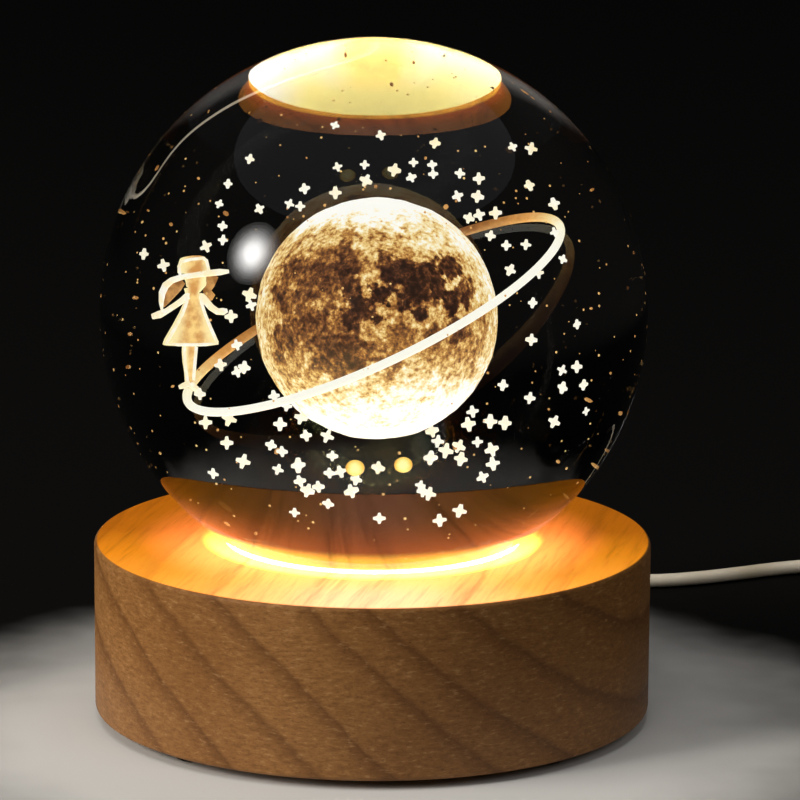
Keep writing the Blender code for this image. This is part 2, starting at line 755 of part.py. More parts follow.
def make_base():
    base = turned("wooden_base", base_profile(), LARGE_SEGMENTS)
    combine(
        base,
        cord_hole_drill(
            "cord_hole", BUSH_RADIUS + CLEARANCE, POCKET_RADIUS - OVERRUN, BASE_RADIUS + OVERRUN
        ),
    )
    pilots = [
        ("cover", cover_screw_places(), COVER_SCREW_SHANK_RADIUS, REBATE_CEILING,
         BASE_BOTTOM + COVER_SCREW_LENGTH),
        ("cup", cup_screw_places(), CUP_SCREW_SHANK_RADIUS, POCKET_CEILING,
         CUP_FLANGE_BOTTOM - CLEARANCE + CUP_SCREW_LENGTH),
        ("clamp", clamp_screw_places(), CLAMP_SCREW_SHANK_RADIUS, POCKET_CEILING,
         CLAMP_BOTTOM - CLEARANCE + CLAMP_SCREW_LENGTH),
    ]
    for kind, places, shank_radius, face, tip in pilots:
        for number, x, y in places:
            hole = upright_cylinder(
                f"{kind}_pilot_{number}", shank_radius + CLEARANCE, face - OVERRUN,
                tip + CLEARANCE, x, y,
            )
            combine(base, hole)
    return complete(base, "beech_wood")


def make_bottom_cover():
    top = BASE_BOTTOM + COVER_THICKNESS
    cover = disc("bottom_cover", COVER_RADIUS, BASE_BOTTOM, top, COVER_EDGE, LARGE_SEGMENTS)
    for number, x, y in cover_screw_places():
        shank = COVER_SCREW_SHANK_RADIUS + CLEARANCE
        head = COVER_SCREW_HEAD_RADIUS + CLEARANCE
        sink = turned(
            f"cover_sink_{number}",
            [
                (0, top + OVERRUN),
                (shank, top + OVERRUN),
                (shank, BASE_BOTTOM + COVER_SCREW_HEAD_HEIGHT + CLEARANCE),
                (head, BASE_BOTTOM + CLEARANCE),
                (head, BASE_BOTTOM - OVERRUN),
                (0, BASE_BOTTOM - OVERRUN),
            ],
            SCREW_SEGMENTS,
        )
        sink.location = (x, y, 0)
        combine(cover, as_cutter(sink))
        screw_piece(
            f"cover_screw_{number}", (x, y, BASE_BOTTOM), COVER_SCREW_HEAD_RADIUS,
            COVER_SCREW_HEAD_HEIGHT, COVER_SCREW_SHANK_RADIUS, COVER_SCREW_LENGTH, sunk=True,
        )
    complete(cover, "black_plastic")


def make_lamp_cup():
    ledge = WINDOW_BOTTOM - CLEARANCE
    seat_radius = WINDOW_RADIUS + CLEARANCE
    cup = turned(
        "lamp_cup",
        [
            (seat_radius, CUP_TOP),
            (CUP_OUTER_RADIUS, CUP_TOP),
            (CUP_OUTER_RADIUS, CUP_FLANGE_TOP),
            (CUP_FLANGE_RADIUS, CUP_FLANGE_TOP),
            (CUP_FLANGE_RADIUS, CUP_FLANGE_BOTTOM),
            (CUP_BORE_RADIUS, CUP_FLANGE_BOTTOM),
            (CUP_BORE_RADIUS, ledge),
            (seat_radius, ledge),
        ],
        CUP_SEGMENTS,
    )
    for number, x, y in cup_screw_places():
        hole = upright_cylinder(
            f"cup_hole_{number}", CUP_SCREW_SHANK_RADIUS + CLEARANCE,
            CUP_FLANGE_BOTTOM - OVERRUN, CUP_FLANGE_TOP + OVERRUN, x, y,
        )
        combine(cup, hole)
        screw_piece(
            f"cup_screw_{number}", (x, y, CUP_FLANGE_BOTTOM - CLEARANCE), CUP_SCREW_HEAD_RADIUS,
            CUP_SCREW_HEAD_HEIGHT, CUP_SCREW_SHANK_RADIUS, CUP_SCREW_LENGTH,
        )
    tip = BOARD_BOTTOM - CLEARANCE + BOARD_SCREW_LENGTH
    for number, x, y in board_screw_places():
        hole = upright_cylinder(
            f"cup_pilot_{number}", BOARD_SCREW_SHANK_RADIUS + CLEARANCE,
            CUP_FLANGE_BOTTOM - OVERRUN, tip + CLEARANCE, x, y,
        )
        combine(cup, hole)
    complete(cup, "white_plastic")


def make_light_window():
    window = disc(
        "light_window", WINDOW_RADIUS, WINDOW_BOTTOM, CUP_TOP, CLEARANCE, CUP_SEGMENTS
    )
    complete(window, "frosted_plastic")


def make_led_board():
    board = turned(
        "led_board",
        [(0, BOARD_TOP), (BOARD_RADIUS, BOARD_TOP), (BOARD_RADIUS, BOARD_BOTTOM),
         (0, BOARD_BOTTOM)],
        CUP_SEGMENTS,
    )
    for number, x, y in board_screw_places():
        hole = upright_cylinder(
            f"board_hole_{number}", BOARD_SCREW_SHANK_RADIUS + CLEARANCE,
            BOARD_BOTTOM - OVERRUN, BOARD_TOP + OVERRUN, x, y,
        )
        combine(board, hole)
        screw_piece(
            f"board_screw_{number}", (x, y, BOARD_BOTTOM - CLEARANCE),
            BOARD_SCREW_HEAD_RADIUS, BOARD_SCREW_HEAD_HEIGHT, BOARD_SCREW_SHANK_RADIUS,
            BOARD_SCREW_LENGTH,
        )
    resistor_top = BOARD_TOP - BOARD_THICKNESS / 2
    resistor_bottom = BOARD_BOTTOM - RESISTOR_HEIGHT
    resistor = block(
        "board_resistor",
        (RESISTOR_LENGTH, RESISTOR_WIDTH, resistor_top - resistor_bottom),
        (0, 0, (resistor_top + resistor_bottom) / 2),
    )
    combine(board, as_cutter(resistor), "UNION")
    complete(board, "white_board")
    for number, x, y in around(LED_COUNT, LED_CIRCLE_RADIUS):
        led = block(f"led_{number}", (LED_WIDTH, LED_LENGTH, LED_HEIGHT), (0, 0, 0))
        led.location = (x, y, BOARD_TOP + CLEARANCE + LED_HEIGHT / 2)
        led.rotation_euler = (0, 0, math.atan2(y, x))
        complete(led, "led_yellow")


def make_cable_bush():
    """A rubber bush in the base's wall, with its collar inside the pocket."""
    bore = CORD_RADIUS + CLEARANCE
    collar_end = BUSH_COLLAR_FACE - BUSH_COLLAR_THICKNESS
    bush = turned(
        "cable_bush",
        [
            (bore, BUSH_OUTER_END),
            (BUSH_RADIUS, BUSH_OUTER_END),
            (BUSH_RADIUS, BUSH_COLLAR_FACE),
            (BUSH_COLLAR_RADIUS, BUSH_COLLAR_FACE),
            (BUSH_COLLAR_RADIUS, collar_end),
            (bore, collar_end),
        ],
        SMALL_SEGMENTS,
    )
    bush.rotation_euler = (-math.pi / 2, 0, 0)
    bush.location = (0, 0, CORD_HEIGHT)
    complete(bush, "black_rubber")


def make_cord_clamp():
    """A block that holds the cord up against the pocket's ceiling with two screws."""
    height = CLAMP_TOP - CLAMP_BOTTOM
    middle = (CLAMP_TOP + CLAMP_BOTTOM) / 2
    clamp = block("cord_clamp", (CLAMP_LENGTH, CLAMP_WIDTH, height), (0, CLAMP_Y, middle))
    near, far = CLAMP_Y - CLAMP_WIDTH, CLAMP_Y + CLAMP_WIDTH
    combine(clamp, cord_hole_drill("clamp_round", CLAMP_SLOT_RADIUS, near, far))
    slot_height = CLAMP_TOP + OVERRUN - CORD_HEIGHT
    slot = block(
        "clamp_slot", (2 * CLAMP_SLOT_RADIUS, 2 * CLAMP_WIDTH, slot_height),
        (0, CLAMP_Y, CORD_HEIGHT + slot_height / 2),
    )
    combine(clamp, as_cutter(slot))
    for number, x, y in clamp_screw_places():
        hole = upright_cylinder(
            f"clamp_hole_{number}", CLAMP_SCREW_SHANK_RADIUS + CLEARANCE,
            CLAMP_BOTTOM - OVERRUN, CLAMP_TOP + OVERRUN, x, y,
        )
        combine(clamp, hole)
        screw_piece(
            f"clamp_screw_{number}", (x, y, CLAMP_BOTTOM - CLEARANCE),
            CLAMP_SCREW_HEAD_RADIUS, CLAMP_SCREW_HEAD_HEIGHT, CLAMP_SCREW_SHANK_RADIUS,
            CLAMP_SCREW_LENGTH,
        )
    complete(clamp, "white_plastic")


def make_inner_cord():
    """The cord inside the base, and its two wires up to the board."""
    inner_end = (0, CORD_INNER_END_Y, CORD_HEIGHT)
    route = smooth_route([(0, BUSH_OUTER_END, CORD_HEIGHT), inner_end], CORD_POINT_STEP)
    tube("inner_cord", route, CORD_DIAMETER, "cream_cord")
    for name, side in (("red_wire", 1), ("black_wire", -1)):
        start = Vector((side * WIRE_SPACING / 2, CORD_INNER_END_Y - CLEARANCE, CORD_HEIGHT))
        joint = Vector((side * BOARD_JOINT_X, BOARD_JOINT_Y, BOARD_BOTTOM - CLEARANCE))
        below = joint - Vector((0, 0, BOARD_WIRE_LEG))
        middle = (start + below) / 2 - Vector((0, 0, BOARD_WIRE_SAG))
        route = smooth_route([start, middle, below, joint], WIRE_POINT_STEP)
        tube(name, route, WIRE_DIAMETER, name)


def switch_frame():
    """The empty that places the switch: its X runs along the cord, away from the lamp."""
    frame = add_object("switch_frame", None)
    frame.location = (SWITCH_X, SWITCH_Y, 0)
    frame.rotation_euler = (0, 0, -math.pi / 2)
    return frame


def switch_screw_places():
    return [(1, SWITCH_SCREW_X, SWITCH_SCREW_Y), (2, -SWITCH_SCREW_X, -SWITCH_SCREW_Y)]


def relief_hole(name):
    """A cutting cylinder along X through both end walls of the switch."""
    reach = SWITCH_LENGTH / 2 + OVERRUN
    radius = RELIEF_NECK_RADIUS + CLEARANCE
    hole = turned(
        name, [(0, reach), (radius, reach), (radius, -reach), (0, -reach)], SMALL_SEGMENTS
    )
    hole.rotation_euler = (0, math.pi / 2, 0)
    hole.location = (0, 0, SWITCH_MIDDLE)
    return as_cutter(hole)


def half_shell(name, above):
    """Half of the switch's housing, hollow, parted at its middle height."""
    shell = plate(
        name, rounded_outline(SWITCH_LENGTH, SWITCH_WIDTH, SWITCH_CORNER_RADIUS), SWITCH_HEIGHT
    )
    shell.location = (0, 0, SWITCH_MIDDLE)
    edges = shell.modifiers.new("Round", "BEVEL")
    edges.width = SWITCH_EDGE_ROUND
    edges.segments = EDGE_STEPS
    edges.limit_method = "ANGLE"
    edges.angle_limit = EDGE_ANGLE
    side = -1 if above else 1
    reach = SWITCH_LENGTH + OVERRUN
    half = block(
        name + "_other_half", (reach, reach, SWITCH_HEIGHT),
        (0, 0, SWITCH_MIDDLE + side * (SWITCH_MIDDLE - CLEARANCE / 2)),
    )
    combine(shell, as_cutter(half))
    cavity = plate(
        name + "_cavity",
        rounded_outline(CAVITY_LENGTH, CAVITY_WIDTH, SWITCH_CORNER_RADIUS - SWITCH_WALL),
        CAVITY_HEIGHT,
    )
    cavity.location = (0, 0, SWITCH_MIDDLE)
    combine(shell, as_cutter(cavity))
    return shell


def make_lower_shell(frame):
    lower = half_shell("switch_lower_shell", above=False)
    parting = SWITCH_MIDDLE - CLEARANCE / 2
    head_seat = SWITCH_SCREW_HEAD_HEIGHT + CLEARANCE
    for number, x, y in switch_screw_places():
        boss = upright_cylinder(
            f"lower_boss_{number}", SWITCH_BOSS_RADIUS, SWITCH_WALL / 2, parting, x, y
        )
        combine(lower, boss, "UNION")
    combine(lower, relief_hole("lower_relief_hole"))
    for number, x, y in switch_screw_places():
        hole = upright_cylinder(
            f"lower_hole_{number}", SWITCH_SCREW_SHANK_RADIUS + CLEARANCE, -OVERRUN,
            SWITCH_MIDDLE + OVERRUN, x, y,
        )
        head = upright_cylinder(
            f"lower_head_{number}", SWITCH_SCREW_HEAD_RADIUS + CLEARANCE, -OVERRUN, head_seat,
            x, y,
        )
        combine(combine(lower, hole), head)
        screw = screw_piece(
            f"switch_screw_{number}", (x, y, head_seat - CLEARANCE), SWITCH_SCREW_HEAD_RADIUS,
            SWITCH_SCREW_HEAD_HEIGHT, SWITCH_SCREW_SHANK_RADIUS, SWITCH_SCREW_LENGTH,
        )
        screw.parent = frame
    complete(lower, "cream_plastic", frame)


def make_upper_shell(frame):
    upper = half_shell("switch_upper_shell", above=True)
    parting = SWITCH_MIDDLE + CLEARANCE / 2
    roof = SWITCH_HEIGHT - SWITCH_WALL / 2
    screw_tip = SWITCH_SCREW_HEAD_HEIGHT + SWITCH_SCREW_LENGTH
    for number, x, y in switch_screw_places():
        boss = upright_cylinder(f"upper_boss_{number}", SWITCH_BOSS_RADIUS, parting, roof, x, y)
        combine(upper, boss, "UNION")
    cheek_y = ROCKER_WIDTH / 2 + CLEARANCE + CHEEK_THICKNESS / 2
    cheek_bottom = PIVOT_HEIGHT - CHEEK_BELOW_PIVOT
    for side in (-1, 1):
        cheek = block(
            f"cheek_{side}", (CHEEK_LENGTH, CHEEK_THICKNESS, roof - cheek_bottom),
            (0, side * cheek_y, (roof + cheek_bottom) / 2),
        )
        combine(upper, as_cutter(cheek), "UNION")
    combine(upper, relief_hole("upper_relief_hole"))
    for number, x, y in switch_screw_places():
        hole = upright_cylinder(
            f"upper_pilot_{number}", SWITCH_SCREW_SHANK_RADIUS + CLEARANCE,
            SWITCH_MIDDLE - OVERRUN, screw_tip + CLEARANCE, x, y,
        )
        combine(upper, hole)
    opening = block(
        "rocker_window",
        (ROCKER_LENGTH + 2 * WINDOW_MARGIN, ROCKER_WIDTH + 2 * CLEARANCE, SWITCH_HEIGHT),
        (0, 0, SWITCH_HEIGHT),
    )
    combine(upper, as_cutter(opening))
    combine(upper, as_cutter(pivot_rod("pivot_hole", PIVOT_RADIUS + CLEARANCE)))
    complete(upper, "cream_plastic", frame)


def pivot_rod(name, radius):
    """A rod along Y on the rocker's axis, as long as the housing is wide inside."""
    half = CAVITY_WIDTH / 2 - CLEARANCE
    rod = turned(name, [(0, half), (radius, half), (radius, -half), (0, -half)], SCREW_SEGMENTS)
    rod.rotation_euler = (math.pi / 2, 0, 0)
    rod.location = (0, 0, PIVOT_HEIGHT)
    return rod


def make_rocker(frame):
    """The rocker, switched on: its outer end is down. It turns about its pin."""
    pivot = add_object("rocker_pivot", None)
    pivot.location = (0, 0, PIVOT_HEIGHT)
    pivot.rotation_euler = (0, ROCKER_TILT, 0)
    pivot.parent = frame
    end, keel = ROCKER_LENGTH / 2, ROCKER_KEEL_LENGTH / 2
    outline = [
        (-end, ROCKER_RISE),
        (-end, -ROCKER_SIDE_DROP),
        (-keel, -ROCKER_DROP),
        (keel, -ROCKER_DROP),
        (end, -ROCKER_SIDE_DROP),
        (end, ROCKER_RISE),
        (0, ROCKER_RISE - ROCKER_DIP),
    ]
    rocker = plate("switch_rocker", outline, ROCKER_WIDTH)
    rocker.rotation_euler = (math.pi / 2, 0, 0)
    hole = turned(
        "rocker_hole",
        [(0, ROCKER_WIDTH), (PIVOT_RADIUS + CLEARANCE, ROCKER_WIDTH),
         (PIVOT_RADIUS + CLEARANCE, -ROCKER_WIDTH), (0, -ROCKER_WIDTH)],
        SCREW_SEGMENTS,
    )
    hole.rotation_euler = (math.pi / 2, 0, 0)
    combine(rocker, as_cutter(hole))
    complete(rocker, "cream_plastic", pivot)
    pin = pivot_rod("rocker_pin", PIVOT_RADIUS)
    complete(pin, "steel", pivot)
    pin.location = (0, 0, 0)
    bridge_drop = PIVOT_HEIGHT - SWITCH_WALL - CLEARANCE - CONTACT_POST_HEIGHT - CLEARANCE
    bridge = block(
        "switch_bridge", (BRIDGE_LENGTH, CONTACT_WIDTH, BRIDGE_THICKNESS),
        (0, 0, BRIDGE_THICKNESS / 2 - bridge_drop),
    )
    complete(bridge, "brass", pivot)


def make_contacts(frame):
    """Two brass strips on the floor of the switch, each bent up at its inner end."""
    floor = SWITCH_WALL + CLEARANCE
    strip = floor + CONTACT_THICKNESS
    post = floor + CONTACT_POST_HEIGHT
    post_half = CONTACT_THICKNESS / 2
    tip_outer = CONTACT_TIP_X + CONTACT_THICKNESS
    tip_height = post - tip_outer * math.sin(ROCKER_TILT) - CLEARANCE
    outlines = {
        "switch_contact_in": [
            (-CONTACT_END_X, floor), (post_half, floor), (post_half, post), (-post_half, post),
            (-post_half, strip), (-CONTACT_END_X, strip),
        ],
        "switch_contact_out": [
            (CONTACT_TIP_X, floor), (CONTACT_END_X, floor), (CONTACT_END_X, strip),
            (tip_outer, strip), (tip_outer, tip_height), (CONTACT_TIP_X, tip_height),
        ],
    }
    for name, outline in outlines.items():
        contact = plate(name, outline, CONTACT_WIDTH)
        contact.rotation_euler = (math.pi / 2, 0, 0)
        complete(contact, "brass", frame)


def relief_profile():
    """A strain relief's section: flange, neck in the wall, and a ribbed tail that tapers."""
    bore = CORD_RADIUS + CLEARANCE
    flange_outer = CAVITY_LENGTH / 2 - CLEARANCE
    flange_inner = flange_outer - RELIEF_FLANGE_THICKNESS
    root = SWITCH_LENGTH / 2 + CLEARANCE
    tail = RELIEF_TIP_X - root
    outside = []
    for rib in range(RELIEF_RIB_COUNT):
        for pitch_share, depth_share in RELIEF_RIB_SHARES:
            share = 1 - (rib + pitch_share) / RELIEF_RIB_COUNT
            radius = RELIEF_ROOT_RADIUS + (RELIEF_TIP_RADIUS - RELIEF_ROOT_RADIUS) * share
            outside.append((radius - depth_share * RELIEF_GROOVE_DEPTH, root + tail * share))
    return [
        (bore, RELIEF_TIP_X),
        *outside,
        (RELIEF_ROOT_RADIUS, root),
        (RELIEF_NECK_RADIUS, root),
        (RELIEF_NECK_RADIUS, flange_outer),
        (RELIEF_FLANGE_RADIUS, flange_outer),
        (RELIEF_FLANGE_RADIUS, flange_inner),
        (bore, flange_inner),
    ]


def make_reliefs(frame):
    for name, turn in (("switch_relief_in", -math.pi / 2), ("switch_relief_out", math.pi / 2)):
        relief = turned(name, relief_profile(), SMALL_SEGMENTS)
        relief.rotation_euler = (0, turn, 0)
        relief.location = (0, 0, SWITCH_MIDDLE)
        complete(relief, "cream_plastic", frame)


def make_switch_wires(frame):
    """The cut conductor's two ends on the contacts, and the one that runs through."""
    start_x = SWITCH_CORD_END_X - CLEARANCE
    terminal = SWITCH_WALL + CLEARANCE + CONTACT_THICKNESS + CLEARANCE + WIRE_RADIUS
    terminal_x = CONTACT_END_X - WIRE_DIAMETER
    for name, side in (("switch_wire_in", -1), ("switch_wire_out", 1)):
        start = (side * start_x, -WIRE_SPACING / 2, SWITCH_MIDDLE)
        joint = (side * terminal_x, 0, terminal)
        middle = [
            (side * (start_x + (terminal_x - start_x) * way_share), 0,
             SWITCH_MIDDLE + (terminal - SWITCH_MIDDLE) * drop_share)
            for way_share, drop_share in TERMINAL_SHARES
        ]
        route = smooth_route([start, *middle, joint], WIRE_POINT_STEP)
        tube(name, route, WIRE_DIAMETER, "red_wire", parent=frame)
    ends = [(side * start_x, WIRE_SPACING / 2, SWITCH_MIDDLE) for side in (-1, 1)]
    offset = CAVITY_WIDTH / 2 - WIRE_RADIUS - THROUGH_WIRE_MARGIN
    middle = [
        (start_x * reach_share, offset * offset_share,
         SWITCH_MIDDLE - THROUGH_WIRE_DIP * dip_share)
        for reach_share, offset_share, dip_share in THROUGH_SHARES
    ]
    route = smooth_route([ends[0], *middle, ends[1]], WIRE_POINT_STEP)
    tube("switch_wire_through", route, WIRE_DIAMETER, "black_wire", parent=frame)


def make_plug():
    """The moulded plug: its X runs from the cord to the tip."""
    frame = add_object("plug_frame", None)
    frame.location = (PLUG_X, PLUG_Y, PLUG_HEIGHT)
    frame.rotation_euler = (0, 0, math.pi / 2)
    body = block(
        "plug_body", (PLUG_BODY_LENGTH, PLUG_BODY_WIDTH, PLUG_BODY_HEIGHT),
        (PLUG_BODY_START + PLUG_BODY_LENGTH / 2, 0, 0), PLUG_BODY_ROUND,
    )
    tail_end = PLUG_BODY_START + PLUG_TAIL_OVERLAP
    tail = turned(
        "plug_tail",
        [(0, tail_end), (PLUG_TAIL_ROOT_RADIUS, tail_end), (PLUG_TAIL_ROOT_RADIUS, PLUG_BODY_START),
         (PLUG_TAIL_TIP_RADIUS, 0), (0, 0)],
        SMALL_SEGMENTS,
    )
    tail.rotation_euler = (0, math.pi / 2, 0)
    combine(body, as_cutter(tail), "UNION")
    bore = CORD_RADIUS + CLEARANCE
    cord_bore = turned(
        "plug_bore",
        [(0, PLUG_CORD_DEPTH + CLEARANCE), (bore, PLUG_CORD_DEPTH + CLEARANCE),
         (bore, -OVERRUN), (0, -OVERRUN)],
        SMALL_SEGMENTS,
    )
    cord_bore.rotation_euler = (0, math.pi / 2, 0)
    combine(body, as_cutter(cord_bore))
    recess_depth = PLUG_SHELL_DEPTH + CLEARANCE
    recess = block(
        "plug_recess",
        (recess_depth + OVERRUN, PLUG_SHELL_WIDTH + 2 * CLEARANCE,
         PLUG_SHELL_HEIGHT + 2 * CLEARANCE),
        (PLUG_BODY_END + (OVERRUN - recess_depth) / 2, 0, 0),
    )
    combine(body, as_cutter(recess))
    complete(body, "cream_plastic", frame)
    make_plug_contacts(frame)


def make_plug_contacts(frame):
    """The plug's steel shell, and the tongue inside it with its contacts."""
    start = PLUG_BODY_END - PLUG_SHELL_DEPTH
    tip = start + PLUG_SHELL_LENGTH
    middle = (start + tip) / 2
    shell = block(
        "plug_shell", (PLUG_SHELL_LENGTH, PLUG_SHELL_WIDTH, PLUG_SHELL_HEIGHT), (middle, 0, 0)
    )
    inner_width = PLUG_SHELL_WIDTH - 2 * PLUG_SHELL_WALL
    inner_height = PLUG_SHELL_HEIGHT - 2 * PLUG_SHELL_WALL
    hollow = block(
        "plug_hollow", (PLUG_SHELL_LENGTH + 2 * OVERRUN, inner_width, inner_height),
        (middle, 0, 0),
    )
    combine(shell, as_cutter(hollow))
    for side in (-1, 1):
        latch = block(
            f"plug_window_{side}", (PLUG_WINDOW_SIZE, PLUG_WINDOW_SIZE, 2 * PLUG_SHELL_HEIGHT),
            (tip - PLUG_WINDOW_FROM_TIP, side * PLUG_WINDOW_SPACING / 2, 0),
        )
        combine(shell, as_cutter(latch))
    complete(shell, "nickel", frame)
    tongue_bottom = CLEARANCE - inner_height / 2
    tongue_length = PLUG_SHELL_LENGTH - TONGUE_SHORT
    tongue = block(
        "plug_tongue", (tongue_length, inner_width - 2 * CLEARANCE, TONGUE_THICKNESS),
        (start + tongue_length / 2, 0, tongue_bottom + TONGUE_THICKNESS / 2),
    )
    complete(tongue, "white_plastic", frame)
    pin_height = tongue_bottom + TONGUE_THICKNESS + CLEARANCE + PIN_THICKNESS / 2
    for i in range(PIN_COUNT):
        pin = block(
            f"plug_contact_{i + 1}", (PIN_LENGTH, PIN_WIDTH, PIN_THICKNESS),
            (start + tongue_length - TONGUE_SHORT - PIN_LENGTH / 2,
             (i - (PIN_COUNT - 1) / 2) * PIN_SPACING, pin_height),
        )
        complete(pin, "gold", frame)


def coil_route():
    """The coil's centre line. Its layers spiral in and out in turn, and each climb to the next
    takes the half turn where the spiral reverses. Both ends run straight for one diameter."""
    route = []
    count = round(COIL_TURNS * COIL_POINTS_PER_LOOP)
    for i in range(count + 1):
        turn = COIL_TURNS * i / count
        inward = (turn / COIL_TURNS_PER_LAYER) % 2
        if i == count:
            inward = COIL_LAYERS % 2
        inward = min(inward, 2 - inward)
        radius = COIL_OUTER_RADIUS - inward * COIL_TURNS_PER_LAYER * COIL_PITCH
        climbs = [
            min(max((turn - k * COIL_TURNS_PER_LAYER) / COIL_CLIMB_TURNS + 0.5, 0), 1)
            for k in range(1, COIL_LAYERS)
        ]
        angle = COIL_START_ANGLE + 2 * math.pi * turn
        route.append(
            (
                COIL_X + radius * math.cos(angle),
                COIL_Y + radius * math.sin(angle),
                COIL_FIRST_HEIGHT + sum(climbs) * COIL_PITCH,
            )
        )
    first, last = route[0], route[-1]
    route.insert(0, (first[0], first[1] + CORD_DIAMETER, first[2]))
    route.append((last[0], last[1] + CORD_DIAMETER, last[2]))
    return route


def least_gap(route):
    """The least gap between the coil's turns, from points more than half a loop apart."""
    points = [Vector(p) for p in route]
    apart = COIL_POINTS_PER_LOOP // 2
    nearest = min(
        (points[i] - points[j]).length
        for i in range(len(points))
        for j in range(i + apart, len(points))
    )
    return nearest - CORD_DIAMETER


def make_lead():
    """The cord outside the base, in the stretches between the pieces on it, and its coil."""
    switch_entry = Vector((SWITCH_X, SWITCH_Y + SWITCH_CORD_END_X, SWITCH_MIDDLE))
    entry_tip = Vector((SWITCH_X, SWITCH_Y + RELIEF_TIP_X, SWITCH_MIDDLE))
    exit_tip = Vector((SWITCH_X, SWITCH_Y - RELIEF_TIP_X, SWITCH_MIDDLE))
    switch_exit = Vector((SWITCH_X, SWITCH_Y - SWITCH_CORD_END_X, SWITCH_MIDDLE))
    coil = coil_route()
    coil_start = Vector(coil[0]) + Vector((0, CLEARANCE, 0))
    coil_end = Vector(coil[-1]) + Vector((0, CLEARANCE, 0))
    straight = Vector((0, CORD_DIAMETER, 0))
    plug_tip = Vector((PLUG_X, PLUG_Y, PLUG_HEIGHT))
    plug_inside = Vector((PLUG_X, PLUG_Y + PLUG_CORD_DEPTH, PLUG_HEIGHT))
    stretches = {
        "cord_to_switch": [
            (0, CORD_EXIT_Y, CORD_HEIGHT), *ROUTE_TO_SWITCH, entry_tip, switch_entry,
        ],
        "cord_to_coil": [
            switch_exit, exit_tip, *ROUTE_TO_COIL, coil_start + straight, coil_start,
        ],
        "cord_to_plug": [coil_end, coil_end + straight, *ROUTE_TO_PLUG, plug_tip, plug_inside],
    }
    total = length_of(coil)
    for name, points in stretches.items():
        route = smooth_route(points, CORD_POINT_STEP)
        tube(name, route, CORD_DIAMETER, "cream_cord")
        total += length_of(route)
    tube("cord_coil", coil, CORD_DIAMETER, "cream_cord", COIL_BEVEL_RESOLUTION)
    print(f"lead outside the base: {total:.4f} m, of which the coil {length_of(coil):.4f} m")
    print(f"coil's least gap to itself: {least_gap(coil) * 1000:.3f} mm")


def make_tie():
    """A strap round the coil's turns at its front."""
    half_width = TIE_WIDTH / 2
    inner_side = COIL_INNER_RADIUS - CORD_RADIUS
    inner = math.sqrt(inner_side**2 - half_width**2) - CLEARANCE
    outer = COIL_OUTER_RADIUS + CORD_RADIUS + CLEARANCE
    bottom = TIE_THICKNESS
    top = COIL_LAST_HEIGHT + CORD_RADIUS + CLEARANCE
    strap = block(
        "cord_tie",
        (TIE_WIDTH, outer - inner + 2 * TIE_THICKNESS, top - bottom + 2 * TIE_THICKNESS),
        (COIL_X, COIL_Y - (outer + inner) / 2, (top + bottom) / 2),
    )
    space = block(
        "tie_space", (TIE_WIDTH + 2 * OVERRUN, outer - inner, top - bottom),
        (COIL_X, COIL_Y - (outer + inner) / 2, (top + bottom) / 2),
    )
    combine(strap, as_cutter(space))
    complete(strap, "black_plastic")


def main():
    global parts, cutters
    clear_scene()
    parts = new_collection("Crystal ball lamp")
    cutters = new_collection("Cutters")
    make_ball()
    make_foot_pads()
    make_base()
    make_bottom_cover()
    make_lamp_cup()
    make_light_window()
    make_led_board()
    make_cable_bush()
    make_cord_clamp()
    make_inner_cord()
    frame = switch_frame()
    make_lower_shell(frame)
    make_upper_shell(frame)
    make_rocker(frame)
    make_contacts(frame)
    make_reliefs(frame)
    make_switch_wires(frame)
    make_plug()
    make_lead()
    make_tie()


main()
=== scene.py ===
# %% [markdown]
# # A crystal ball lamp
#
# A solid glass ball rests in the dished top of a round wooden base. LEDs in the base light it from
# below, and a moon, its ring, a small figure and a swarm of stars are engraved inside the glass.
# This lesson dresses the imported frame of the lamp: it keeps its sizes and gives each piece the
# surface of the real one. We begin with the frame.

# %% The frame
import math
import random

import bpy
from mathutils import Euler, Matrix, Vector


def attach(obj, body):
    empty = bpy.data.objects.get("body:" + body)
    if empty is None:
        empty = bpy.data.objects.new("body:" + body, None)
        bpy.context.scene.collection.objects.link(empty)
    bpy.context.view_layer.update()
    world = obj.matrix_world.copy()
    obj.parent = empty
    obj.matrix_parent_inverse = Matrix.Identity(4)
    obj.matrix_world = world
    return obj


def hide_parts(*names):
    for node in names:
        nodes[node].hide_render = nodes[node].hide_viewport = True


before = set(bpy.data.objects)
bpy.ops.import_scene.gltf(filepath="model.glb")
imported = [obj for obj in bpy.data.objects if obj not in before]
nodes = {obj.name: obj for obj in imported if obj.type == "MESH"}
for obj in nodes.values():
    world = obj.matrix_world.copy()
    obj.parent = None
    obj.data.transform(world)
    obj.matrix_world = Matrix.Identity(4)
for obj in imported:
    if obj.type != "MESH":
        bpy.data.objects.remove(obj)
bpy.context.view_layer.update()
MM = 0.001

# %% [markdown]
# ## Sizes that the lesson shares
#
# They repeat the frame's own sizes. The ball sits low in its seat, so its middle is 60.4 mm above
# the table.

# %% Sizes
BALL_RADIUS = 40.0 * MM
BALL_MIDDLE = Vector((0, 0, 60.4 * MM))
BASE_RADIUS = 41.0 * MM
BASE_BOTTOM = 1.3 * MM
BASE_TOP = 26.5 * MM
SEAT_RADIUS = 40.3 * MM
WELL_RADIUS = 13.0 * MM
POCKET_RADIUS = 25.0 * MM
POCKET_CEILING = 12.9 * MM
REBATE_RADIUS = 31.3 * MM
REBATE_CEILING = 3.6 * MM
CORD_HOLE_RADIUS = 2.8 * MM
CORD_DIAMETER = 2.2 * MM
CORD_HEIGHT = 9.0 * MM
GLASS_INDEX = 1.5168
print(f"ball {2 * BALL_RADIUS / MM:.1f} mm across, base {2 * BASE_RADIUS / MM:.1f} mm")

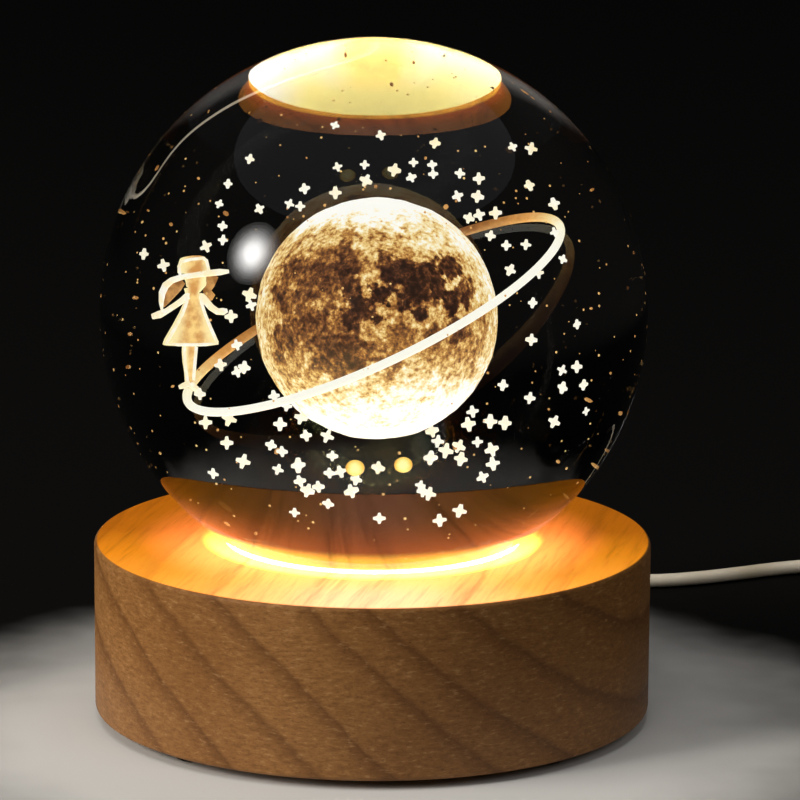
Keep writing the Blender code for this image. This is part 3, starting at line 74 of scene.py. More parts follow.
# %% [markdown]
# ## The camera
#
# The camera stands about 0.7 m away, some 12 degrees above the horizontal, with a long lens. We
# aim it with a track rotation and then roll it a trace about its own axis.

# %% Camera
CAMERA_ROLL = math.radians(0.36)
camera_data = bpy.data.cameras.new("camera")
camera_data.lens = 214.92
camera_data.sensor_width = 36
camera_data.clip_start = 0.01
camera_data.clip_end = 20
camera = bpy.data.objects.new("camera", camera_data)
bpy.context.scene.collection.objects.link(camera)
camera.location = Vector((3.91, -683.5, 198.2)) * MM
aim = Vector((3.91, 0, 47.18)) * MM - camera.location
camera.rotation_euler = aim.to_track_quat("-Z", "Y").to_euler()
camera.rotation_euler.rotate_axis("Z", CAMERA_ROLL)
bpy.context.scene.camera = camera
bpy.context.scene.view_settings.view_transform = "Standard"
print("camera at", tuple(round(c, 3) for c in camera.location))

# %% [markdown]
# ## A small language for materials
#
# A material is a graph of nodes, and long graphs are easier to read as sums. `Wire` wraps one
# output, so that `mask * 0.5 + 0.2` adds the Math nodes for us.


# %% Sums of nodes
def linear(red, green, blue):
    """A colour as it looks on screen, 0 to 255, in the linear values that shaders use."""
    return tuple(
        c / 12.92 if c <= 0.04045 else ((c + 0.055) / 1.055) ** 2.4
        for c in (red / 255, green / 255, blue / 255)
    )


class Wire:
    """One output of a node, which can stand in sums as a number does."""

    def __init__(self, finish, socket):
        self.finish = finish
        self.socket = socket

    def math(self, operation, *values):
        return self.finish.node("ShaderNodeMath", {"operation": operation}, dict(enumerate(values)))

    def __add__(self, other):
        return self.math("ADD", self, other)

    __radd__ = __add__

    def __sub__(self, other):
        return self.math("SUBTRACT", self, other)

    def __rsub__(self, other):
        return self.math("SUBTRACT", other, self)

    def __mul__(self, other):
        return self.math("MULTIPLY", self, other)

    __rmul__ = __mul__

    def __truediv__(self, other):
        return self.math("DIVIDE", self, other)

    def __pow__(self, other):
        return self.math("POWER", self, other)

    def sine(self):
        return self.math("SINE", self)

    def step(self, low, high):
        """0 below low, 1 above high, and a smooth climb between them."""
        return self.finish.node(
            "ShaderNodeMapRange",
            {"interpolation_type": "SMOOTHSTEP"},
            {"Value": self, "From Min": low, "From Max": high},
        )


print("pale paper on screen is", linear(240, 238, 230), "in a shader")

# %% [markdown]
# `Finish` is one material. Its method `node` adds any node, and those below it are short names
# for the nodes that this lesson needs most.


# %% Materials by expression
class Finish:
    """A material that is made one node at a time round its Principled BSDF."""

    def __init__(self, name, colour, roughness, metallic=0.0, **fixed):
        self.material = bpy.data.materials.new(name)
        self.material.use_nodes = True
        self.tree = self.material.node_tree
        self.shader = self.tree.nodes["Principled BSDF"]
        self.set(Base_Color=(*colour, 1), Roughness=roughness, Metallic=metallic, **fixed)
        self.material.diffuse_color = (*colour, 1)

    def set(self, **inputs):
        """Sets or links the shader's inputs, named with _ for a space."""
        for name, value in inputs.items():
            self.feed(self.shader.inputs[name.replace("_", " ")], value)
        return self

    def feed(self, socket, value):
        if isinstance(value, Wire):
            self.tree.links.new(value.socket, socket)
        elif isinstance(value, tuple) and len(value) == 3 and socket.type == "RGBA":
            socket.default_value = (*value, 1)
        else:
            socket.default_value = value

    def node(self, kind, settings=None, inputs=None, output=0):
        made = self.tree.nodes.new(kind)
        for name, value in (settings or {}).items():
            setattr(made, name, value)
        for key, value in (inputs or {}).items():
            self.feed(made.inputs[key], value)
        return Wire(self, made.outputs[output])

    def place(self):
        """The point on the surface, in metres in the lamp's own frame."""
        return self.node("ShaderNodeTexCoord", output="Object")

    def split(self, point):
        """X, Y and Z of a point as three wires."""
        made = self.tree.nodes.new("ShaderNodeSeparateXYZ")
        self.feed(made.inputs[0], point)
        return [Wire(self, output) for output in made.outputs]

    def vector(self, operation, inputs, output=0):
        return self.node("ShaderNodeVectorMath", {"operation": operation}, inputs, output)

    def along(self, point, direction):
        """How far a point lies along a direction."""
        return self.vector("DOT_PRODUCT", {0: point, 1: direction}, "Value")

    def distance(self, point, other):
        return self.vector("DISTANCE", {0: point, 1: other}, "Value")

    def scaled(self, colour, share):
        return self.vector("SCALE", {0: colour, "Scale": share})

    def join(self, x, y, z):
        return self.node("ShaderNodeCombineXYZ", inputs={0: x, 1: y, 2: z})

    def noise(self, point, scale, detail=2.0, roughness=0.5):
        inputs = {"Vector": point, "Scale": scale, "Detail": detail, "Roughness": roughness}
        return self.node("ShaderNodeTexNoise", inputs=inputs)

    def blend(self, factor, first, second):
        """A colour between two colours."""
        return self.node("ShaderNodeMix", {"data_type": "RGBA"}, {0: factor, 6: first, 7: second}, 2)

    def ramp(self, stops, place):
        """The colour at a place from 0 to 1 on a ramp of (place, colour) stops."""
        wire = self.node("ShaderNodeValToRGB", inputs={"Fac": place})
        elements = wire.socket.node.color_ramp.elements
        while len(elements) < len(stops):
            elements.new(1.0)
        for element, (position, colour) in zip(elements, stops, strict=True):
            element.position = position
            element.color = (*colour, 1)
        return wire

    def bump(self, height, strength, distance):
        """Raises and lowers the surface in its shading."""
        inputs = {"Height": height, "Strength": strength, "Distance": distance}
        return self.set(Normal=self.node("ShaderNodeBump", inputs=inputs))

    def paint(self, *objects):
        for obj in objects:
            obj.data.materials.clear()
            obj.data.materials.append(self.material)


print("materials are ready to write")

# %% [markdown]
# ## Drawing tools
#
# Most of this lamp is round, so the main tool is a lathe: it draws half an outline in edit mode
# and spins it round Z.


# %% Drawing tools
def deselect():
    bpy.ops.object.select_all(action="DESELECT")


def select_only(obj):
    deselect()
    obj.select_set(True)
    bpy.context.view_layer.objects.active = obj


def edit(kind="VERT", select=None):
    """Goes into edit mode, to work on points, edges or faces, and may SELECT or DESELECT all."""
    bpy.ops.object.mode_set(mode="EDIT")
    bpy.ops.mesh.select_mode(type=kind)
    if select:
        bpy.ops.mesh.select_all(action=select)


def done():
    bpy.ops.object.mode_set(mode="OBJECT")
    return bpy.context.object


def lathe(name, profile, steps, closed=False):
    """Draws a profile of (radius, height) points by extruding one point, and spins it round Z."""
    bpy.ops.mesh.primitive_plane_add(size=MM, location=(0, 0, 0))
    bpy.context.object.name = name
    edit(select="SELECT")
    bpy.ops.mesh.merge(type="CENTER")
    radius, height = profile[0]
    bpy.ops.transform.translate(value=(radius, 0, height))
    for (r0, z0), (r1, z1) in zip(profile, profile[1:], strict=False):
        bpy.ops.mesh.extrude_vertices_move(
            TRANSFORM_OT_translate={"value": (r1 - r0, 0, z1 - z0)}
        )
    bpy.ops.mesh.select_all(action="SELECT")
    if closed:
        mesh = done().data
        for vertex in mesh.vertices:
            vertex.select = vertex.index in (0, len(mesh.vertices) - 1)
        edit()
        bpy.ops.mesh.edge_face_add()
        bpy.ops.mesh.select_all(action="SELECT")
    bpy.ops.mesh.spin(steps=steps, angle=2 * math.pi, center=(0, 0, 0), axis=(0, 0, 1))
    bpy.ops.mesh.select_all(action="SELECT")
    bpy.ops.mesh.remove_doubles(threshold=0.002 * MM)
    bpy.ops.mesh.normals_make_consistent(inside=False)
    return done()


def rounded(radius, height, size, first, last, steps):
    """Points of a round in a profile, by angles in degrees from the outward direction."""
    angles = [math.radians(first + (last - first) * i / steps) for i in range(steps + 1)]
    return [(radius + size * math.cos(a), height + size * math.sin(a)) for a in angles]


print("a round of 2 mm:", rounded(0, 0, 2, 0, 90, 2))

# %% [markdown]
# ## Studio: floor and wall
#
# One bowl is the floor and the wall. Its colour is painted light: a pale pool round the lamp that
# fades to painted darkness beyond, with a cloudy edge. The ball sees all of it upside down, and a
# pale wall would fill the glass with grey.

# %% Floor and wall
bowl = lathe(
    "studio",
    [(0, 0), (0.3, 0), (0.6, 0), (1.2, 0), *rounded(2.2, 0.8, 0.8, -90, 0, 12), (3.0, 3.0)],
    96,
)
edit(select="SELECT")
bpy.ops.mesh.flip_normals()
done()
bpy.ops.object.shade_smooth()
# Painted light: pale round the lamp, fading with the distance to painted darkness beyond.
PALE, PAINTED_DARKNESS = linear(200, 197, 191), linear(13, 12, 11)
LIT_POOL_MIDDLE = Vector((0, -14 * MM, 0))
LIT_POOL_FADE = (60 * MM, 102 * MM)
studio = Finish("studio", PALE, 0.9, Specular_IOR_Level=0.1)
studio_place = studio.place()
cloudy = studio.noise(studio_place, 30.0, 3.0) * 0.03
from_lit_pool = studio.distance(studio_place, LIT_POOL_MIDDLE) + cloudy
studio.set(Base_Color=studio.blend(from_lit_pool.step(*LIT_POOL_FADE), PALE, PAINTED_DARKNESS))
studio.paint(bowl)
print("floor and wall:", len(bowl.data.polygons), "faces")

# %% [markdown]
# ## Studio: lamps
#
# The ball's highlight is the mirror picture of the key light. One disk would have a hard edge, so
# we stack eight, each smaller than the one behind it, and their light adds up to a soft spot. The
# other lamps aren't mirrored, so that the ball keeps its one highlight.


# %% Lamps
def soft_light(name, place, size, power, colour, mirrored=True):
    """A round lamp that faces the ball. One that isn't mirrored leaves no spot on the glass."""
    data = bpy.data.lights.new(name, "AREA")
    data.shape = "DISK"
    data.size = size
    data.energy = power
    data.color = colour
    lamp = bpy.data.objects.new(name, data)
    bpy.context.scene.collection.objects.link(lamp)
    lamp.location = place
    lamp.rotation_euler = (BALL_MIDDLE - Vector(place)).to_track_quat("-Z", "Y").to_euler()
    lamp.visible_glossy = mirrored
    lamp.visible_transmission = mirrored
    return lamp


KEY_PLACE = Vector((-0.695, -0.454, 0.491))
KEY_REACH = 0.17
KEY_SIZES = (0.38, 0.34, 0.30, 0.26, 0.22, 0.18, 0.14, 0.10)
KEY_RADIANCE = 32.0
reached = 0.0
for number, size in enumerate(KEY_SIZES, 1):
    radiance = KEY_RADIANCE * math.exp(-((size * 0.9 / KEY_REACH) ** 2)) - reached
    reached += radiance
    soft_light(
        f"key_light_{number}", KEY_PLACE * (1 - 0.01 * number), size,
        radiance * math.pi**2 * size * size / 4, (1.0, 0.98, 0.96),
    )
soft_light("side_light", (-0.88, -0.30, 0.42), 0.60, 8.0, (1.0, 0.96, 0.90), mirrored=False)
soft_light("fill_light", (0.90, -0.80, 0.90), 0.90, 3.2, (0.96, 0.98, 1.0), mirrored=False)
soft_light("top_light", (-0.20, -0.30, 1.40), 1.00, 7.0, (1.0, 1.0, 1.0), mirrored=False)
world = bpy.data.worlds.new("studio_air")
bpy.context.scene.world = world
world.use_nodes = True
world.node_tree.nodes["Background"].inputs["Color"].default_value = (0.9, 0.92, 1.0, 1)
world.node_tree.nodes["Background"].inputs["Strength"].default_value = 0.14
print("lamps:", len(bpy.data.lights))

# %% [markdown]
# ## The lead
#
# The lead is about 1.27 m of thin round USB cord. It leaves the base at the back, drops to the
# table and runs off to the right through a rocker switch. What is left of it is wound into a small
# coil that a strap holds, with the plug beside it. A curve is the right tool for it. Its points
# repeat the frame's own route, and `even_route` runs a smooth line through them.


# %% A smooth route
def even_route(points, step):
    """Points an even step apart on a smooth curve through the given ones."""
    points = [Vector(p) for p in points]
    padded = [2 * points[0] - points[1], *points, 2 * points[-1] - points[-2]]
    fine = []
    for before, here, there, after in zip(padded, padded[1:], padded[2:], padded[3:], strict=False):
        for i in range(16):
            t = i / 16
            place = 2 * here + (there - before) * t
            place += (2 * before - 5 * here + 4 * there - after) * t**2
            place += (3 * here - before - 3 * there + after) * t**3
            fine.append(0.5 * place)
    fine.append(points[-1])
    lengths = [0.0]
    for a, b in zip(fine, fine[1:], strict=False):
        lengths.append(lengths[-1] + (b - a).length)
    count = max(2, round(lengths[-1] / step))
    route, k = [], 0
    for i in range(count + 1):
        wanted = lengths[-1] * i / count
        while k < len(fine) - 2 and lengths[k + 1] < wanted:
            k += 1
        run = max(lengths[k + 1] - lengths[k], 1e-9)
        route.append(fine[k].lerp(fine[k + 1], (wanted - lengths[k]) / run))
    return route


def length_of(route):
    return sum((b - a).length for a, b in zip(route, route[1:], strict=False))


def in_mm(*points):
    return [Vector(p) * MM for p in points]


print("straight route:", even_route([(0, 0, 0), (1, 0, 0)], 0.5))

# %% [markdown]
# The coil is 13.5 turns in four layers. They wind in and out in turn, and the cord climbs to the
# next layer where the winding turns back.

# %% The coil's route
COIL_MIDDLE = Vector((86.5, -14.0, 0)) * MM
COIL_RADIUS = 16.8 * MM
COIL_TURNS, COIL_LAYERS = 13.5, 4
COIL_PITCH = 2.65 * MM
COIL_FIRST_HEIGHT = 2.0 * MM


def coil_route(points_per_turn):
    """Layers that spiral in and out in turn, each climb taking half a turn at the reversal."""
    per_layer = COIL_TURNS / COIL_LAYERS
    count = round(COIL_TURNS * points_per_turn)
    route = []
    for i in range(count + 1):
        turn = COIL_TURNS * i / count
        inward = (turn / per_layer) % 2 if i < count else COIL_LAYERS % 2
        inward = min(inward, 2 - inward)
        radius = COIL_RADIUS - inward * per_layer * COIL_PITCH
        climbs = [min(max((turn - k * per_layer) * 2 + 0.5, 0), 1) for k in range(1, COIL_LAYERS)]
        angle = math.pi + 2 * math.pi * turn
        height = COIL_FIRST_HEIGHT + sum(climbs) * COIL_PITCH
        route.append(
            COIL_MIDDLE + Vector((radius * math.cos(angle), radius * math.sin(angle), height))
        )
    return route


coil = coil_route(40)
print(f"coil: {length_of(coil):.3f} m of cord")

# %% The way of the lead
to_switch = even_route(
    in_mm(
        (0, 40.7, 9.0), (0, 47.0, 9.0), (0.6, 54.5, 7.8), (3.5, 62.5, 4.8), (11.0, 69.0, 2.2),
        (21.5, 71.8, 1.3), (33.5, 71.9, 1.2), (45.6, 72.3, 1.2), (53.1, 74.4, 1.2),
        (60.0, 77.6, 1.2), (66.7, 80.9, 1.2), (73.5, 82.6, 1.4), (80.0, 81.2, 2.1),
        (84.6, 76.4, 3.3), (86.0, 70.8, 4.3), (86.0, 66.0, 4.7), (86.0, 56.3, 4.7),
    ),
    3.0 * MM,
)
to_coil = even_route(
    [
        *in_mm(
            (86.0, 29.7, 4.7), (86.0, 20.0, 4.7), (85.8, 15.0, 4.5), (84.5, 11.0, 4.1),
            (81.8, 8.0, 3.7), (77.8, 6.2, 3.3), (74.2, 4.0, 2.9), (71.4, 0.4, 2.5),
            (70.0, -4.0, 2.2), (69.7, -9.0, 2.0),
        ),
        coil[0],
    ],
    3.0 * MM,
)
to_plug = even_route(
    [
        coil[-1],
        *in_mm(
            (103.3, -9.5, 9.95), (103.3, -7.0, 9.2), (103.3, -1.0, 7.2), (103.3, 5.0, 5.2),
            (103.3, 10.0, 4.3), (103.3, 15.0, 4.0), (103.3, 26.0, 4.0),
        ),
    ],
    3.0 * MM,
)
from_switch = [*to_coil[:-1], *coil, *to_plug[1:]]
print(f"lead: {length_of(to_switch):.3f} m to the switch, {length_of(from_switch):.3f} m after it")

# %% [markdown]
# The switch parts the lead, so it is two curves. Switch, coil and plug are left out of what the
# glass mirrors, or the ball would show a loop of cord.


# %% The lead as two curves
def tube(name, places, half, thicknesses=None, closed=False):
    """A curve with a round bevel, whose thickness may change from point to point."""
    data = bpy.data.curves.new(name, "CURVE")
    data.dimensions = "3D"
    data.bevel_depth = half
    data.bevel_resolution = 4
    data.use_fill_caps = not closed
    spline = data.splines.new("POLY")
    spline.points.add(len(places) - 1)
    for i, place in enumerate(places):
        spline.points[i].co = (*place, 1)
        spline.points[i].radius = thicknesses[i] if thicknesses else 1.0
    spline.use_cyclic_u = closed
    spline.use_smooth = True
    obj = bpy.data.objects.new(name, data)
    bpy.context.scene.collection.objects.link(obj)
    return obj


lead_to_switch = tube("lead_to_switch", to_switch, CORD_DIAMETER / 2)
lead_to_plug = tube("lead_to_plug", from_switch, CORD_DIAMETER / 2)
jacket = Finish("cord_jacket", linear(228, 218, 200), 0.45, Specular_IOR_Level=0.4)
jacket_place = jacket.place()
grime = jacket.noise(jacket_place, 90.0, 3.0).step(0.45, 0.75)
jacket.set(
    Base_Color=jacket.blend(grime, linear(216, 204, 182), linear(196, 181, 154)),
    Roughness=0.42 + jacket.noise(jacket_place, 400.0) * 0.12,
)
jacket.paint(lead_to_switch, lead_to_plug)
for cord_piece, hidden in (
    (lead_to_switch, ["cord_to_switch"]),
    (lead_to_plug, ["cord_to_coil", "cord_coil", "cord_to_plug"]),
):
    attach(cord_piece, "base")
    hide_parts(*hidden)
on_switch = [
    nodes[name] for name in nodes if name.startswith("switch_") or name == "rocker_pin"
]
on_plug = [nodes[name] for name in nodes if name.startswith("plug_") or name == "cord_tie"]
for reel_piece in (lead_to_plug, *on_plug, *on_switch):
    reel_piece.visible_glossy = False
print("two curves, and", len(on_switch) + len(on_plug), "pieces that go with them")

# %% [markdown]
# ## The wooden base
#
# The base is turned from light wood: a drum with a dished seat for the ball, a light well under it
# and a pocket below. On a lathe one closed profile makes all of that, so we draw it and spin it. A
# cutting cylinder then drills the hole for the lead.


# %% Tools for pieces of the lamp
def apply_modifier(obj, kind, **settings):
    """Adds one modifier and applies it at once."""
    bpy.context.view_layer.objects.active = obj
    modifier = obj.modifiers.new(kind.title(), kind)
    for name, value in settings.items():
        setattr(modifier, name, value)
    bpy.ops.object.modifier_apply(modifier=modifier.name)
    return obj


def dressed(obj, body, slot, *hidden):
    """The piece moves with a body and stands for the named nodes; slot is not used."""
    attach(obj, body)
    if hidden:
        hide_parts(*hidden)
    return obj


print("pieces that can be dressed:", len(nodes))

# %% Turning the base
seat_low = -math.degrees(math.acos(WELL_RADIUS / SEAT_RADIUS))
seat_high = -math.degrees(math.asin((BALL_MIDDLE.z - BASE_TOP) / SEAT_RADIUS))
EDGE = 0.7 * MM
base = lathe(
    "base_of_wood",
    [
        *rounded(BASE_RADIUS - EDGE, BASE_TOP - EDGE, EDGE, 90, 0, 5),
        *rounded(BASE_RADIUS - EDGE, BASE_BOTTOM + EDGE, EDGE, 0, -90, 5),
        (REBATE_RADIUS, BASE_BOTTOM),
        (REBATE_RADIUS, REBATE_CEILING),
        (POCKET_RADIUS, REBATE_CEILING),
        (POCKET_RADIUS, POCKET_CEILING),
        (WELL_RADIUS, POCKET_CEILING),
        *rounded(0, BALL_MIDDLE.z, SEAT_RADIUS, seat_low, seat_high, 14),
    ],
    144,
    closed=True,
)
bpy.ops.mesh.primitive_cylinder_add(
    vertices=32, radius=CORD_HOLE_RADIUS, depth=20 * MM, location=(0, 33 * MM, CORD_HEIGHT),
    rotation=(math.pi / 2, 0, 0),
)
hole = bpy.context.object
apply_modifier(base, "BOOLEAN", object=hole, operation="DIFFERENCE", solver="EXACT")
bpy.data.objects.remove(hole, do_unlink=True)
select_only(base)
bpy.ops.object.shade_smooth_by_angle(angle=math.radians(28))
dressed(base, "base", "beech", "wooden_base")
print("base:", len(base.data.polygons), "faces")

# %% [markdown]
# ## The grain of the wood
#
# The tree's growth layers cross the drum as tilted planes, about 8 mm apart: on the front they are
# slanting dark lines, on the top lines that run away from us. The fibres lie in those planes and
# run from front to back, so the top shows long streaks and the front their cut ends as flecks.

# %% Grain
wood = Finish("beech_wood", linear(142, 98, 58), 0.5, Specular_IOR_Level=0.3)
spot = wood.place()
x, y, z = wood.split(spot)
LAYER = Vector((0.92, -0.15, 1.0)).normalized()
FIBRE = Vector((0.28, 0.95, 0.02)).normalized()
ACROSS = LAYER.cross(FIBRE).normalized()
LINES_MM = (-33.5, -25.0, -15.7, -7.8, 0.6, 8.2, 17.7, 23.9, 32.5, 41.0)
REACH = 50 * MM
along_layer = wood.along(spot, LAYER)
along_fibre = wood.along(spot, FIBRE)
along_third = wood.along(spot, ACROSS)
slow = (wood.noise(spot, 26.0, 1.0) - 0.5) * 0.0032
quick = (wood.noise(spot, 160.0, 3.0) - 0.5) * 0.0013
line_stops = [(0.0, (0, 0, 0))]
for line in LINES_MM:
    for place, shade in ((line - 3.4, 0.0), (line, 1.0), (line + 0.8, 0.0)):
        line_stops.append(((place * MM / REACH + 1) / 2, (shade, shade, shade)))
late_wood = wood.ramp(line_stops, (along_layer + slow + quick) / (2 * REACH) + 0.5) ** 1.7
streaks = wood.noise(wood.join(along_layer, along_fibre * 0.05, along_third), 2600.0, 4.0, 0.6)
long_streaks = wood.noise(
    wood.join(along_layer, along_fibre * 0.025, along_third), 900.0, 4.0, 0.6
)
strokes = wood.noise(wood.join(x, y, z * 3.4), 620.0, 5.0, 0.7)
fine = wood.noise(wood.join(x, y, z * 2.4), 1900.0, 3.0, 0.6)
tone = wood.noise(spot, 24.0, 2.0).step(0.3, 0.7)
plain = wood.blend(tone, linear(146, 101, 55), linear(130, 87, 44))
lined = wood.blend(late_wood * 0.60, plain, linear(80, 45, 18))
mottled = wood.blend(strokes.step(0.44, 0.70) * 0.52, lined, linear(90, 54, 24))
lightened = wood.blend(0.36 - strokes.step(0.30, 0.46) * 0.36, mottled, linear(190, 148, 100))
grained = wood.blend(fine.step(0.50, 0.72) * 0.40, lightened, linear(72, 43, 18))
print("growth lines:", len(LINES_MM))

# %% [markdown]
# ## The glow on the wood
#
# The LEDs make the seat glow and wash the top with gold. That is painted light, emission painted
# by place: it fades with the distance from the middle, and `front`, 1 at the front and 0 at the
# back, makes it stronger before the ball, where it is also a painted highlight for the varnish
# mirroring the ball's bright foot. The top and the seat get a darker amber base colour than the
# side, a painted tint of the glow. The seat is far brighter than a screen can show, because the
# glass mirrors it at its top, and there its tint alone decides how it looks.

# %% Glow
SEAT_RIM = (21.6 * MM, 21.9 * MM)
TOP_FACE = (26.35 * MM, 26.49 * MM)
WIDE_FADE = (22.0 * MM, 36.0 * MM)
CLOSE_FADE = (23.5 * MM, 25.6 * MM)
SEAT_WIDTH = 44 * MM
radius = (x * x + y * y) ** 0.5
on_top = z.step(*TOP_FACE)
in_seat = (1 - radius.step(*SEAT_RIM)) * z.step(12.0 * MM, POCKET_CEILING)
top_grain = (
    1 - late_wood * 0.22 - long_streaks.step(0.46, 0.74) * 0.24 - streaks.step(0.5, 0.8) * 0.10
)
FRONT_GLOW = [
    (0.0, (0.105, 0.028, 0.0005)), (0.45, (0.130, 0.036, 0.001)), (0.64, (0.25, 0.080, 0.003)),
    (0.82, (0.36, 0.128, 0.012)), (0.90, (0.50, 0.176, 0.028)), (0.97, (0.66, 0.252, 0.084)),
    (1.0, (0.74, 0.300, 0.150)),
]
GLOW_SCALE = 3.0
front = 0.5 - y / radius * 0.5
glow_front = wood.scaled(wood.ramp(FRONT_GLOW, front), GLOW_SCALE)
strength = front.step(0.30, 0.85) * 0.75 + 0.25
near_ball = (1 - radius.step(*WIDE_FADE)) * strength
# Painted highlight before the ball: it stands for the varnish mirroring the ball's bright foot.
front_highlight = (1 - radius.step(*CLOSE_FADE)) * front.step(0.35, 0.85)
glow_near = wood.blend(near_ball, glow_front, (4.0, 0.88, 0.20))
glow_and_highlight = wood.blend(front_highlight, glow_near, (10.0, 4.4, 0.5))
top_glow = wood.scaled(glow_and_highlight, top_grain)
SEAT_TINTS = [
    (0.0, (1.0, 0.86, 0.34)), (0.30, (1.0, 0.92, 0.48)), (0.43, (1.0, 0.73, 0.20)),
    (0.56, (1.0, 0.74, 0.21)), (0.68, (1.0, 0.90, 0.50)), (0.95, (1.0, 0.98, 0.90)),
]
bands = (wood.noise(wood.join(x, y * 0.3, z * 0.3), 240.0, 2.0) - 0.5) * 0.12
seat_tint = wood.ramp(SEAT_TINTS, x / SEAT_WIDTH + 0.5 + bands)
front_seat = radius.step(14.0 * MM, 18.5 * MM) * front.step(0.76, 0.92)
seat_colour = wood.blend(front_seat, seat_tint, (1.0, 0.84, 0.28))
seat_strength = radius.step(11.0 * MM, 21.5 * MM) * 30.0 + 10.0
seat_glow = wood.scaled(seat_colour, seat_strength * (1 - long_streaks.step(0.5, 0.8) * 0.15))
# Painted glow: the LEDs' light on the seat and the top, with the highlight before the ball.
painted_glow = wood.blend(in_seat, top_glow, seat_glow)
lit = on_top.math("MAXIMUM", on_top, in_seat)
# Painted tint of the glow: the top and the seat get a darker amber base colour than the side.
amber = wood.blend(top_grain, linear(60, 26, 2), linear(120, 62, 6))
wood.set(
    Base_Color=wood.blend(lit, grained, amber),
    Roughness=0.42 + streaks * 0.2,
    Emission_Color=wood.blend(lit, (0.0, 0.0, 0.0), painted_glow),
    Emission_Strength=1.0,
)
wood.bump(streaks * 0.3 + strokes * 0.7 - late_wood * 0.3, 0.5, 0.12 * MM)
wood.paint(base)
print("wood:", len(wood.tree.nodes), "nodes")

# %% [markdown]
# ## The glass ball
#
# A ball of even faces shows no poles: we subdivide a cube and cast it to a sphere. The index of
# 1.517 alone turns the picture behind the ball upside down and shows the bright seat at its top.


# %% Ball
def even_sphere(name, radius, middle, levels):
    """A cube that is subdivided, swollen to a sphere and put in its place."""
    bpy.ops.mesh.primitive_cube_add(size=2 * radius, location=(0, 0, 0))
    sphere = bpy.context.object
    sphere.name = name
    apply_modifier(
        sphere, "SUBSURF", levels=levels, render_levels=levels, subdivision_type="SIMPLE"
    )
    apply_modifier(
        sphere, "CAST", cast_type="SPHERE", factor=1.0, radius=0.0, size=radius,
        use_radius_as_size=False,
    )
    edit(select="SELECT")
    bpy.ops.transform.translate(value=middle)
    done()
    bpy.ops.object.shade_smooth()
    return sphere


ball = even_sphere("glass_ball", BALL_RADIUS, BALL_MIDDLE, 6)
glass = Finish("crystal_glass", (0.99, 0.995, 0.995), 0.0, IOR=GLASS_INDEX, Transmission_Weight=1.0)
glass.paint(ball)
dressed(ball, "ball", "crystal", "crystal_ball")
lows = [min(v.co[i] for v in ball.data.vertices) for i in range(3)]
highs = [max(v.co[i] for v in ball.data.vertices) for i in range(3)]
print("ball from", [round(v, 5) for v in lows], "to", [round(v, 5) for v in highs])

# %% [markdown]
# ## Where an engraving lies inside the ball
#
# The ball is a strong lens, so a mark inside it isn't where it seems to be. `inside` follows the
# bent ray backwards: it takes the pixel at which a mark is seen, and how far the mark lies towards
# the viewer, and gives its true place.

# %% Looking into the glass
VIEW_BACK = (camera.location - BALL_MIDDLE).normalized()
level_right = Vector((0, 0, 1)).cross(VIEW_BACK).normalized()
level_up = VIEW_BACK.cross(level_right)
VIEW_RIGHT = level_right * math.cos(CAMERA_ROLL) + level_up * math.sin(CAMERA_ROLL)
VIEW_UP = level_up * math.cos(CAMERA_ROLL) - level_right * math.sin(CAMERA_ROLL)
SEEN_MIDDLE = (374.8, 311.2)
PIXELS_PER_METRE = 6860.0


def inside(across, down, towards=0.0):
    """The true place of a mark that is seen at a pixel, by its distance towards the viewer."""
    offset = (
        VIEW_RIGHT * (across - SEEN_MIDDLE[0]) + VIEW_UP * (SEEN_MIDDLE[1] - down)
    ) / PIXELS_PER_METRE
    seen = min(offset.length, 0.995 * BALL_RADIUS)
    outwards = offset.normalized()
    bend = math.asin(seen / BALL_RADIUS) - math.asin(seen / BALL_RADIUS / GLASS_INDEX)
    nearest = seen / GLASS_INDEX
    travel = -(towards + nearest * math.sin(bend)) / math.cos(bend)
    away = nearest * math.cos(bend) - travel * math.sin(bend)
    return BALL_MIDDLE + outwards * away + VIEW_BACK * towards


print("a mark seen at (188, 390) lies at", tuple(round(c * 1000, 2) for c in inside(188, 390, 0)))

# %% [markdown]
# ## The engraved moon
#
# We start from the same even sphere and push craters and pits into it with two displacements.

# %% Moon
MOON_RADIUS = 11.6 * MM
MOON_MIDDLE = BALL_MIDDLE + Vector((0.3, 0, -0.7)) * MM
moon = even_sphere("moon_engraving", MOON_RADIUS, MOON_MIDDLE, 6)
craters = bpy.data.textures.new("craters", "VORONOI")
craters.noise_scale = 2.2 * MM
apply_modifier(
    moon, "DISPLACE", texture=craters, strength=0.16 * MM, mid_level=0.5, texture_coords="LOCAL"
)
pits = bpy.data.textures.new("pits", "CLOUDS")
pits.noise_scale = 0.7 * MM
apply_modifier(
    moon, "DISPLACE", texture=pits, strength=0.10 * MM, mid_level=0.5, texture_coords="LOCAL"
)
dressed(moon, "ball", "engraving", "engraved_moon")
print("moon:", len(moon.data.polygons), "faces")

# %% [markdown]
# ### The moon's face
#
# Each row of `SEAS` is a dark sea: how far right and up it is seen and how large it is, in moon
# radii, and how dark it is. Noise breaks up their shores. Foot and top are brighter: painted light,
# the foot from the LEDs below and the top from the light that the ball's top reflects back down. A
# thin ring round the edge that faces us is a painted highlight, and the far side is a little more
# golden.

